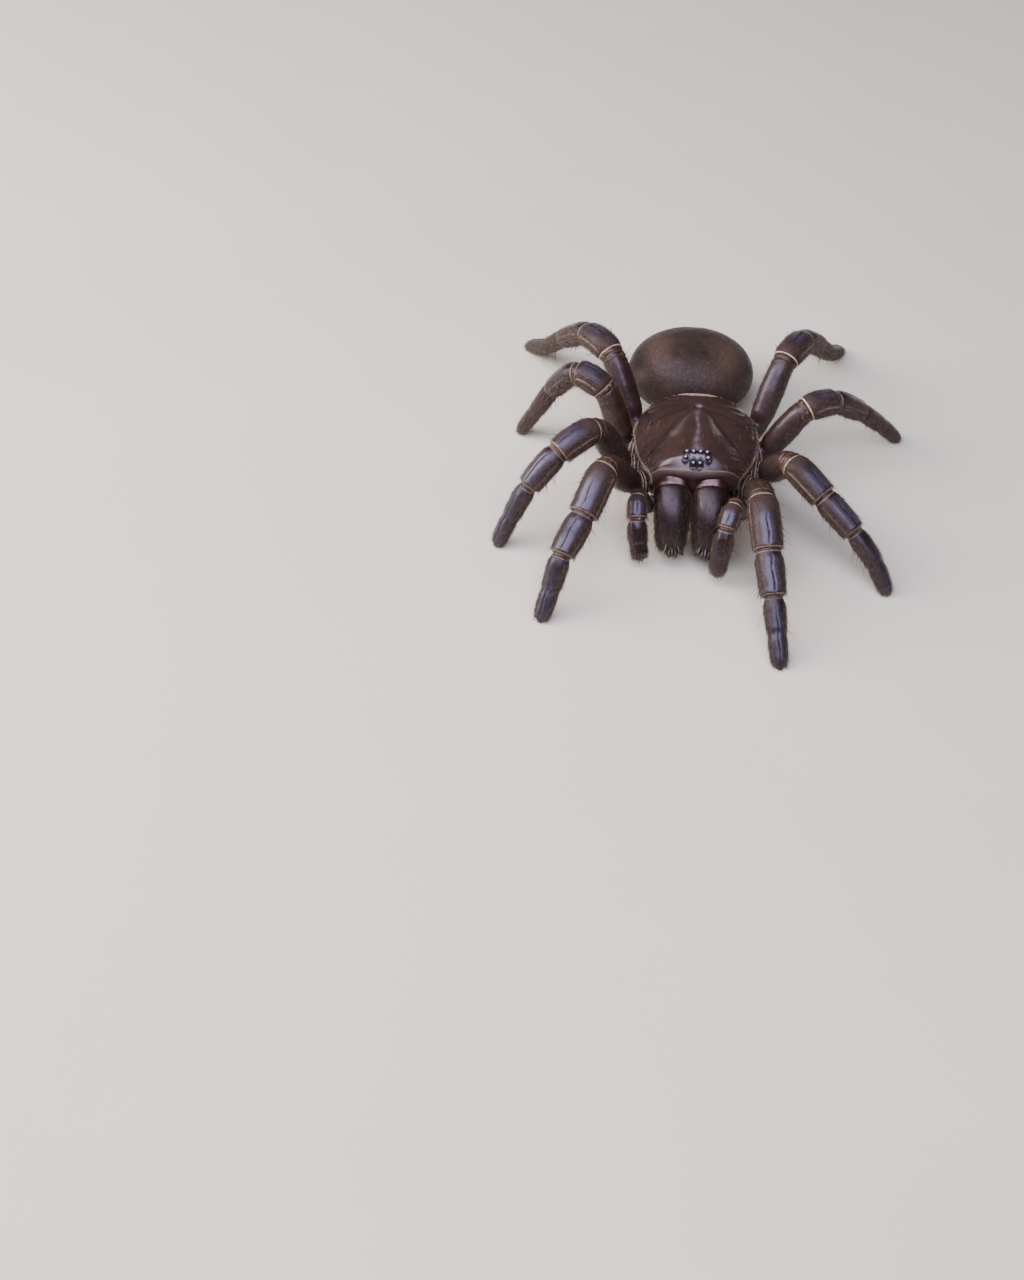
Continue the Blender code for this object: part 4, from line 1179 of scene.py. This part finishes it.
def abdomen_shape():
    """The abdomen, finely wrinkled, with four dents on its back."""
    around = turns(168)
    along = np.linspace(0, math.pi, 114)[1:-1, None]
    points = abdomen_points(around[None, :] + 0 * along, along + 0 * around[None, :])
    wrinkles = 0.09 * speckle(points, 2.6, 3) + 0.04 * speckle(points, 0.9, 4)
    side = np.abs(points[..., 0] - ABDOMEN_MIDDLE[0])
    back = points[..., 1] - ABDOMEN_MIDDLE[1]
    dents = sum(depth * hump(side, aside, width) * hump(back, behind, long)
                for depth, aside, width, behind, long in ABDOMEN_DENTS)
    top = smooth(0.2, 0.9, np.sin(around))[None, :]
    rings = points + unit(points - ABDOMEN_MIDDLE) * (wrinkles - dents * top - 0.06)[..., None]
    # Heart: a dark cardiac mark and darker dents, broadened partly as painted shade; flank: paler patches on
    # both sides, partly a painted lit side
    heart = 0.7 * hump(side, 0.0, 3.4) * smooth(10.0, -2.0, back) + 2.2 * dents
    values = {
        "heart": np.minimum(heart, 0.9) * top,
        "flank": 0.5 * hump(side, 9.0, 3.6) * hump(back, -1.0, 6.5) * top,
    }
    front, rear = ABDOMEN_MIDDLE - (0, ABDOMEN_FRONT_LENGTH, 0), ABDOMEN_MIDDLE + (0, ABDOMEN_REAR_LENGTH, 0)
    return tube(rings, front, rear, values)


def spinneret_shapes():
    """Name and shape of each spinneret."""
    for name, (side_place, drop, spread, long, shares) in SPINNERETS.items():
        t = np.linspace(0, 0.94, 36)
        radius = between(shares, t)[0] * (1 - 0.12 * smooth(0.0, 1.0, 1 - t / 0.05)) + 0.02 * np.sin(t * 90)
        across, lift = round_section(28, radius)
        flat = np.zeros(across.shape)
        for side_name, sign in SIDES.items():
            base = ABDOMEN_MIDDLE + (sign * side_place, ABDOMEN_REAR_LENGTH + 0.4, -drop)
            along = unit(np.array((sign * spread, 1.0, 0.12)))
            line = base + along * (t * long)[:, None]
            rings = laid(line, *limb_axes(along), across, lift)
            end = base + along * (long + 0.1)
            yield f"{name}_{side_name}", tube(rings, line[0], end, {"heart": flat, "flank": flat})


# Coat

def bristle_tree():
    """Tapering curved hairs scattered over a surface, leaning along its lie."""
    found = bpy.data.node_groups.get("bristles")
    if found:
        return found
    tree = bpy.data.node_groups.new("bristles", "GeometryNodeTree")
    inputs = {"Geometry": "Geometry", "Mask": "String", "Density": "Float", "Length": "Float",
              "Radius": "Float", "Stand": "Float", "Scatter": "Float", "Bend": "Float", "Seed": "Int",
              "Steps": "Int", "Material": "Material"}
    for name, kind in inputs.items():
        tree.interface.new_socket(name, in_out="INPUT", socket_type=f"NodeSocket{kind}")
    tree.interface.new_socket("Geometry", in_out="OUTPUT", socket_type="NodeSocketGeometry")
    given = tree.nodes.new("NodeGroupInput").outputs
    add = partial(add_node, tree)

    # One hair of length 1, bent sideways, with its own small map
    strand = add("GeometryNodeMeshCone", {"Vertices": 3, "Side Segments": given["Steps"], "Radius Top": 0.0,
                                          "Radius Bottom": 1.0, "Depth": 1.0})
    where = add("GeometryNodeInputPosition")
    x, y, z = add(SEPARATE, (where,), None)
    patch = add(COMBINE, (add(MATH, (x, 0.5, 0.5), operation="MULTIPLY_ADD"), z))
    strand = add("GeometryNodeStoreNamedAttribute", {0: strand, "Name": "patch", "Value": patch},
                 data_type="FLOAT_VECTOR")
    slim = add(MATH, (given["Radius"], given["Length"]), operation="DIVIDE")
    bent = add(MATH, (given["Bend"], add(MATH, (z, z), operation="MULTIPLY")), operation="MULTIPLY")
    thin = add(COMBINE, (add(MATH, (x, slim, bent), operation="MULTIPLY_ADD"),
                         add(MATH, (y, slim), operation="MULTIPLY"), z))
    strand = add("GeometryNodeSetPosition", {0: strand, 2: thin})

    # Where the hairs grow, which way they lean and how long they are
    mask = add("GeometryNodeInputNamedAttribute", (given["Mask"],), data_type="FLOAT")
    density = add(MATH, (given["Density"], mask), operation="MULTIPLY")
    spots, normal, _ = add("GeometryNodeDistributePointsOnFaces",
                           {0: given["Geometry"], "Density": density, "Seed": given["Seed"]}, None)
    lie = add("GeometryNodeInputNamedAttribute", ("lie",), data_type="FLOAT_VECTOR")
    stray = add("FunctionNodeRandomValue", {0: (-1.0, -1.0, -1.0), 1: (1.0, 1.0, 1.0), "Seed": given["Seed"]},
                data_type="FLOAT_VECTOR")
    aim = lie
    for push, amount in ((normal, "Stand"), (stray, "Scatter")):
        pushed = add("ShaderNodeVectorMath", {0: push, 3: given[amount]}, operation="SCALE")
        aim = add("ShaderNodeVectorMath", (aim, pushed), operation="ADD")
    turned = add("FunctionNodeAlignRotationToVector", {"Vector": aim}, axis="Z")
    turned = add("FunctionNodeAlignRotationToVector", {"Rotation": turned, "Vector": lie}, axis="X",
                 pivot_axis="Z")
    size = add("FunctionNodeRandomValue", {2: 0.6, 3: 1.15, "Seed": given["Seed"]}, 1, data_type="FLOAT")
    scale = add(MATH, (size, given["Length"]), operation="MULTIPLY")
    hairs = add("GeometryNodeInstanceOnPoints",
                {"Points": spots, "Instance": strand, "Rotation": turned, "Scale": scale})

    # Kept above the floor, as one plain mesh
    real = add("GeometryNodeRealizeInstances", (hairs,))
    x, y, z = add(SEPARATE, (where,), None)
    above = add(COMBINE, (x, y, add(MATH, (z, 0.02 * MM), operation="MAXIMUM")))
    real = add("GeometryNodeSetPosition", {0: real, 2: above})
    coated = add("GeometryNodeSetMaterial", {0: real, "Material": given["Material"]})
    tree.links.new(coated, tree.nodes.new("NodeGroupOutput").inputs[0])
    return tree


def emitter_shape(rings, lie, u, v, **masks):
    """An open grid for hairs to grow from, with their lie, their place on an unwrap and their masks."""
    grid = rings.shape[:2]
    unwrap = np.stack(np.broadcast_arrays(u, v, np.zeros(grid)), -1)
    values = {"lie": np.broadcast_to(lie, rings.shape), "unwrap": unwrap}
    values.update((name, np.broadcast_to(mask, grid)) for name, mask in masks.items())
    flat = {name: value.reshape(grid[0] * grid[1], -1) for name, value in values.items()}
    return rings.reshape(-1, 3), grid_faces(*grid, False), flat


def hair(mask, per_mm, long, radius, stand, scatter, bend, steps=2):
    """The inputs of one kind of hair, from its number on a square millimetre."""
    return {"Mask": mask, "Density": per_mm * 1e6, "Length": long, "Radius": radius, "Stand": stand,
            "Scatter": scatter, "Bend": bend, "Steps": steps}


def grow_coat(name, shape, growths, material, slot):
    """Grows each kind of hair from an emitter and keeps them as one plain mesh with its bake map."""
    tree = bristle_tree()
    sockets = {item.name: item.identifier for item in tree.interface.items_tree if item.in_out == "INPUT"}
    emitter = add_piece(f"{name}_emitter", shape, material)
    bm = bmesh.new()
    for seed, growth in enumerate(growths, 1):
        modifier = emitter.modifiers.new("bristles", "NODES")
        modifier.node_group = tree
        for socket, value in {**growth, "Seed": seed, "Material": material}.items():
            modifier[sockets[socket]] = value
        graph = bpy.context.evaluated_depsgraph_get()
        grown = bpy.data.meshes.new_from_object(emitter.evaluated_get(graph))
        bm.from_mesh(grown)
        bpy.data.meshes.remove(grown)
        emitter.modifiers.remove(modifier)
    mesh = bpy.data.meshes.new(name)
    bm.to_mesh(mesh)
    bm.free()
    if not mesh.polygons:
        raise RuntimeError(f"{name} grew no hair")
    bpy.data.objects.remove(emitter)
    corners = np.empty(len(mesh.loops), int)
    mesh.loops.foreach_get("vertex_index", corners)
    numbers = {}
    for attribute in ("unwrap", "patch"):
        flat = np.empty(len(mesh.vertices) * 3)
        mesh.attributes[attribute].data.foreach_get("vector", flat)
        numbers[attribute] = flat.reshape(-1, 3)[corners, :2]
    bake = mesh.uv_layers.new(name="OFBake")
    bake.data.foreach_set("uv", (numbers["unwrap"] + PATCH_SIZE * (numbers["patch"] - 0.5)).ravel())
    mesh.materials.clear()
    mesh.materials.append(material)
    mesh.shade_smooth()
    coat = bpy.data.objects.new(name, mesh)
    bpy.context.scene.collection.objects.link(coat)
    keep(coat, slot)


def segment_emitter(line, kind, stations, thickness, offset, whole):
    """Where a segment's hairs grow: dense on its flanks and below, few along its glossy top."""
    points, tangents, s, total = along_line(line, 0.8, 3)
    kept = (s > total * 0.02) & (s < total * 0.98)
    points, tangents, s = points[kept], tangents[kept], s[kept]
    half_width, half_height = (value * thickness - ROOT_DEPTH for value in between(stations, s / total))
    angles = np.linspace(*ROUND_FROM_BELOW, 25)
    across, up = section(angles[None, :], half_width[:, None], half_height[:, None])
    height = np.sin(angles)[None, :]
    share = (s / total)[:, None]
    top, flank = FUZZ_SHARES[kind]
    fuzz = flank + (top - flank) * smooth(0.5, 0.86, height)
    ending = 1 - smooth(0.35, 0.7, share) * (kind in ("foot", "tip"))
    bristles = (1 - smooth(0.2, 0.75, height)) * (0.3 if kind == "femur" else 1.0)
    bristles = bristles * (0.5 + 0.5 * share) * ending
    rings = laid(points, *limb_axes(tangents), across, up)
    v = ((offset + s) / whole)[:, None]
    return emitter_shape(rings, tangents[:, None], np.linspace(0, 1, 25), v, fuzz=fuzz, bristles=bristles)


def limb_coat(sizes, name, corners, segments, bend, thickness):
    """Fuzz, bristles and a few long bristles on one limb."""
    lines = [centre_line(corners, first, last, segment_bend(bend, kind)) for kind, first, last, _ in segments]
    spans = [np.linalg.norm(np.diff(line, axis=0), axis=1).sum() for line in lines]
    shapes = [segment_emitter(lines[k], kind, stations, thickness, sum(spans[:k]), sum(spans))
              for k, (kind, _, _, stations) in enumerate(segments)]
    growths = (
        hair("fuzz", 9.0, sizes.fuzz, sizes.hair_radius, 0.5, 0.35, 0.25),
        hair("bristles", 1.0, sizes.bristle * 0.6, sizes.hair_radius * 1.25, 0.9, 0.5, 0.3, 3),
        hair("bristles", 0.22, sizes.bristle, sizes.hair_radius * 1.6, 1.4, 0.5, 0.24, 4),
    )
    grow_coat(f"{name}_coat", merge(shapes), growths, finish_of("limb_setae"), "limb_chitin")


def jaw_coat(sizes, side_name, sign):
    """Short hair all over a jaw, longer towards its lower end and on its inner side."""
    u = np.linspace(0.16, 0.99, 40)
    angles = np.linspace(*ROUND_FROM_BELOW, 33)
    rings, _ = chelicera_rings(sign, u, angles, np.full(u.shape, -0.03))
    inner = smooth(0.1, 0.9, -np.cos(angles))[None, :]
    lower = smooth(0.3, 1.0, u)[:, None]
    emitter = emitter_shape(rings, unit(np.gradient(rings, axis=0)), np.linspace(0, 1, 33), u[:, None],
                            fuzz=0.1 + 0.9 * np.maximum(lower, inner * 0.7),
                            bristles=smooth(0.55, 0.95, u)[:, None])
    growths = (
        hair("fuzz", 13.0, sizes.jaw_hair * 0.7, sizes.hair_radius, 0.35, 0.3, 0.25),
        hair("bristles", 7.0, sizes.jaw_hair * 1.3, sizes.hair_radius * 1.25, 0.5, 0.4, 0.3, 3),
    )
    grow_coat(f"chelicera_{side_name}_coat", emitter, growths, finish_of("jaw_setae"), "jaw_chitin")


def abdomen_coat(sizes):
    """Short velvet all over the abdomen."""
    angles = np.linspace(*ROUND_FROM_BELOW, 49)
    along = np.linspace(0.25, math.pi - 0.1, 40)[:, None]
    rings = abdomen_points(angles[None, :] + 0 * along, along + 0 * angles[None, :])
    lie = unit(np.gradient(rings, axis=0))
    emitter = emitter_shape(rings, lie, np.linspace(0, 1, 49), along / math.pi, fuzz=1.0)
    growths = (hair("fuzz", 9.5, sizes.velvet, sizes.hair_radius * 0.5, 0.2, 0.3, 0.2),)
    grow_coat("abdomen_coat", emitter, growths, finish_of("abdomen_setae"), "abdomen_skin")


def carapace_coat(sizes):
    """Sparse pale bristles that lie forward on the shield, and a fine fringe round its rim."""
    forward = np.linspace(REAR + 0.6, FRONT - 1.4, 60)[:, None]
    half_width = carapace_half_width(forward) - 0.15
    side = half_width * np.sin(np.linspace(-math.pi / 2, math.pi / 2, 61))[None, :]
    place = carapace_point(side, forward, np.maximum(carapace_height(side, forward), 0.05) - 0.03)
    edge = 1 - smooth(0.4, 1.2, carapace_half_width(forward) - np.abs(side))
    outward = np.sign(side)[..., None] * ACROSS
    eyes = np.exp(-(side / 4.0) ** 4 - ((forward - EYES_AT - 0.4) / 2.6) ** 4)
    aside = edge + 0.25 * np.abs(side) / HALF_WIDTH
    lie = unit(AHEAD * (1.05 - edge)[..., None] + outward * aside[..., None])
    back = smooth(FOVEA_AT - 6.0, FOVEA_AT + 4.0, forward)
    emitter = emitter_shape(place, lie, 0.5 + side / 30, 0.5 + forward / 40, fuzz=edge,
                            bristles=(1 - edge) * (1 - eyes) * back)
    growths = (
        hair("fuzz", 5.0, sizes.fuzz * 0.8, sizes.hair_radius, 0.25, 0.35, 0.2),
        hair("bristles", 0.045, sizes.bristle * 0.95, sizes.hair_radius * 2.0, 0.07, 0.3, 0.04, 4),
    )
    grow_coat("carapace_coat", emitter, growths, finish_of("carapace_setae"), "carapace_chitin")


# Stage

def add_light(name, power, place, target, size, hex_colour):
    """A rectangular softbox aimed at a point."""
    data = bpy.data.lights.new(name, "AREA")
    data.shape = "RECTANGLE"
    data.size, data.size_y = size
    data.energy = power
    data.color = linear(hex_colour)
    light = bpy.data.objects.new(name, data)
    light.location = place
    light.rotation_euler = (Vector(target) - Vector(place)).to_track_quat("-Z", "Y").to_euler()
    bpy.context.scene.collection.objects.link(light)


def add_camera():
    """The camera, at the photograph's viewing angle."""
    camera = bpy.data.objects.new("camera", bpy.data.cameras.new("camera"))
    camera.data.lens = CAMERA_LENS
    camera.data.clip_start = 0.01
    camera.location = (np.array(CAMERA_PLACE) - CENTRE) * MM
    camera.rotation_euler = (math.radians(90 - CAMERA_DOWN), 0.0, math.radians(CAMERA_TURN))
    bpy.context.scene.collection.objects.link(camera)
    bpy.context.scene.camera = camera


def floor_paper(name, base):
    """Matt studio paper, smooth and uncoated: one pale colour with the faintest clouding."""
    material, add = new_material(name)
    shade = layered(add, darker(base, 0.97), (patches(add, 60.0, 0.3, 0.7), 1.0, base))
    return settled(material, {"Roughness": 0.85}, shade)


# Operators

class SPIDER_OT_carapace(bpy.types.Operator):
    """Make the shield over the legs' bases"""
    bl_idname = "spider.carapace"
    bl_label = "Carapace"

    def execute(self, context):
        lip = context.scene.spider_sizes.rim_lip / MM
        piece = add_piece("carapace_skin", carapace_shape(lip), finish_of("sclerotised_chitin_carapace"))
        keep(piece, "carapace_chitin", "carapace")
        return {"FINISHED"}


class SPIDER_OT_eyes(bpy.types.Operator):
    """Make the eight eyes"""
    bl_idname = "spider.eyes"
    bl_label = "Eyes"

    def execute(self, context):
        around = turns(40)
        falls = np.linspace(0, math.pi, 22)[1:-1, None]
        ball = np.stack((np.sin(falls) * np.cos(around), np.sin(falls) * np.sin(around),
                         np.cos(falls) * np.ones_like(around)), -1)
        # How far each point of a lens faces up and forward: where its pearly spot and painted reflection go
        facing = (ball @ unit(body_point(0, 0.7, 1) - body_point(0, 0, 0)))[..., None]
        for name, middle, radius in eye_places():
            top, bottom = middle + UP * radius, middle - UP * radius
            shape = tube(middle + ball * radius, top, bottom, {"facing": facing})
            keep(add_piece(f"{name}_lens", shape, finish_of("corneal_lens")), "eye_lens", name)
        return {"FINISHED"}


class SPIDER_OT_underside(bpy.types.Operator):
    """Make the breastplate, the coxae, the lip and the waist"""
    bl_idname = "spider.underside"
    bl_label = "Underside"

    def execute(self, context):
        shapes = [core_shape()]
        for side_name, sign in SIDES.items():
            for pair, start in COXA_STARTS.items():
                shapes.append(stub_shape(mirrored(start, sign), leg_corners(side_name, pair)[0], COXA_RADII))
            palp_start = mirrored(PALP_COXA_START, sign)
            shapes.append(stub_shape(palp_start, palp_corners(side_name)[0], PALP_COXA_RADII))
        waist_end = ABDOMEN_MIDDLE - (0, ABDOMEN_FRONT_LENGTH + GAP, WAIST_DROP)
        shapes.append(stub_shape(WAIST_START, waist_end, WAIST_RADII))
        shapes.append(stub_shape(LIP_START, LIP_END, LIP_RADII))
        piece = add_piece("underside_skin", merge(shapes), finish_of("sclerotised_chitin_femur"))
        keep(piece, "limb_chitin", "sternum")
        return {"FINISHED"}


class SPIDER_OT_abdomen(bpy.types.Operator):
    """Make the abdomen and its spinnerets"""
    bl_idname = "spider.abdomen"
    bl_label = "Abdomen"

    def execute(self, context):
        finish = finish_of("abdominal_cuticle")
        for name, shape in (("abdomen", abdomen_shape()), *spinneret_shapes()):
            keep(add_piece(f"{name}_skin", shape, finish), "abdomen_skin", name)
        return {"FINISHED"}


class SPIDER_OT_chelicerae(bpy.types.Operator):
    """Make the two jaws, their digging spines and their fangs"""
    bl_idname = "spider.chelicerae"
    bl_label = "Chelicerae"

    def execute(self, context):
        polished = finish_of("polished_fang_chitin")
        for side_name, sign in SIDES.items():
            jaw = f"chelicera_{side_name}"
            skin = add_piece(f"{jaw}_skin", chelicera_shape(sign), finish_of("sclerotised_chitin_jaw"))
            keep(skin, "jaw_chitin", jaw)
            keep(add_piece(f"rastellum_{side_name}", merge(rastellum_shapes(sign)), polished), "fang_chitin")
            fang = f"fang_{side_name}"
            keep(add_piece(f"{fang}_polished", fang_shape(sign), polished), "fang_chitin", fang)
        return {"FINISHED"}


class SPIDER_OT_legs(bpy.types.Operator):
    """Make the eight walking legs, with their joint skin and claws"""
    bl_idname = "spider.legs"
    bl_label = "Legs"

    def execute(self, context):
        for side_name in SIDES:
            for pair in LEG_ROOTS:
                make_limb(*leg(side_name, pair))
        return {"FINISHED"}


class SPIDER_OT_palps(bpy.types.Operator):
    """Make the two palps"""
    bl_idname = "spider.palps"
    bl_label = "Palps"

    def execute(self, context):
        for side_name in SIDES:
            make_limb(*palp(side_name))
        return {"FINISHED"}


class SPIDER_OT_coat(bpy.types.Operator):
    """Grow the hairs of the limbs, the jaws, the abdomen and the shield"""
    bl_idname = "spider.coat"
    bl_label = "Coat"

    def execute(self, context):
        sizes = context.scene.spider_sizes
        for side_name, sign in SIDES.items():
            for pair in LEG_ROOTS:
                limb_coat(sizes, *leg(side_name, pair))
            limb_coat(sizes, *palp(side_name))
            jaw_coat(sizes, side_name, sign)
        abdomen_coat(sizes)
        carapace_coat(sizes)
        return {"FINISHED"}


class SPIDER_OT_stage(bpy.types.Operator):
    """Lay the floor and set the lights and the camera"""
    bl_idname = "spider.stage"
    bl_label = "Stage"

    def execute(self, context):
        stage = context.scene.spider_stage
        mesh = bpy.data.meshes.new("floor")
        corners = [(x * FLOOR_HALF, y * FLOOR_HALF, 0) for x, y in ((-1, -1), (1, -1), (1, 1), (-1, 1))]
        mesh.from_pydata(corners, [], [(0, 1, 2, 3)])
        mesh.materials.append(floor_paper("matt_studio_paper", stage.floor))
        floor = bpy.data.objects.new("floor", mesh)
        context.scene.collection.objects.link(floor)
        floor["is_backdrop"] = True
        for name, softbox in SOFTBOXES.items():
            add_light(f"{name}_softbox", getattr(stage, f"{name}_light"), *softbox)
        world = bpy.data.worlds.new("studio")
        context.scene.world = world
        world.use_nodes = True
        background = world.node_tree.nodes["Background"].inputs
        fill(background["Color"], linear("#E2DDDC"))
        fill(background["Strength"], 0.15)
        add_camera()
        return {"FINISHED"}


OPERATORS = (SPIDER_OT_carapace, SPIDER_OT_eyes, SPIDER_OT_underside, SPIDER_OT_abdomen, SPIDER_OT_chelicerae,
             SPIDER_OT_legs, SPIDER_OT_palps, SPIDER_OT_coat, SPIDER_OT_stage)


class SPIDER_PT_panel(bpy.types.Panel):
    """The spider's pieces and settings"""
    bl_idname = "SPIDER_PT_panel"
    bl_label = "Trapdoor Spider"
    bl_space_type = "VIEW_3D"
    bl_region_type = "UI"
    bl_category = "Spider"

    def draw(self, context):
        for group in (context.scene.spider_sizes, context.scene.spider_colours, context.scene.spider_stage):
            for name in group.bl_rna.properties.keys():
                if name not in ("name", "rna_type"):
                    self.layout.prop(group, name)
        for operator in OPERATORS:
            self.layout.operator(operator.bl_idname)


GROUPS = {"spider_sizes": SpiderSizes, "spider_colours": SpiderColours, "spider_stage": SpiderStage}


def register():
    """Adds the settings, the operators and the panel."""
    for kind in (*GROUPS.values(), *OPERATORS, SPIDER_PT_panel):
        bpy.utils.register_class(kind)
    for name, kind in GROUPS.items():
        setattr(bpy.types.Scene, name, bpy.props.PointerProperty(type=kind))


def unregister():
    """Takes away what register added."""
    for name in GROUPS:
        delattr(bpy.types.Scene, name)
    for kind in (SPIDER_PT_panel, *reversed(OPERATORS), *GROUPS.values()):
        bpy.utils.unregister_class(kind)


def main():
    """Builds every piece."""
    register()
    for operator in OPERATORS:
        group, name = operator.bl_idname.split(".")
        getattr(getattr(bpy.ops, group), name)()
    boxes = {"cad": CAD_BOX, "visual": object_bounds()}
    {name: [[float(v) for v in corner] for corner in box] for name, box in boxes.items()}


if __name__ == "__main__":
    main()
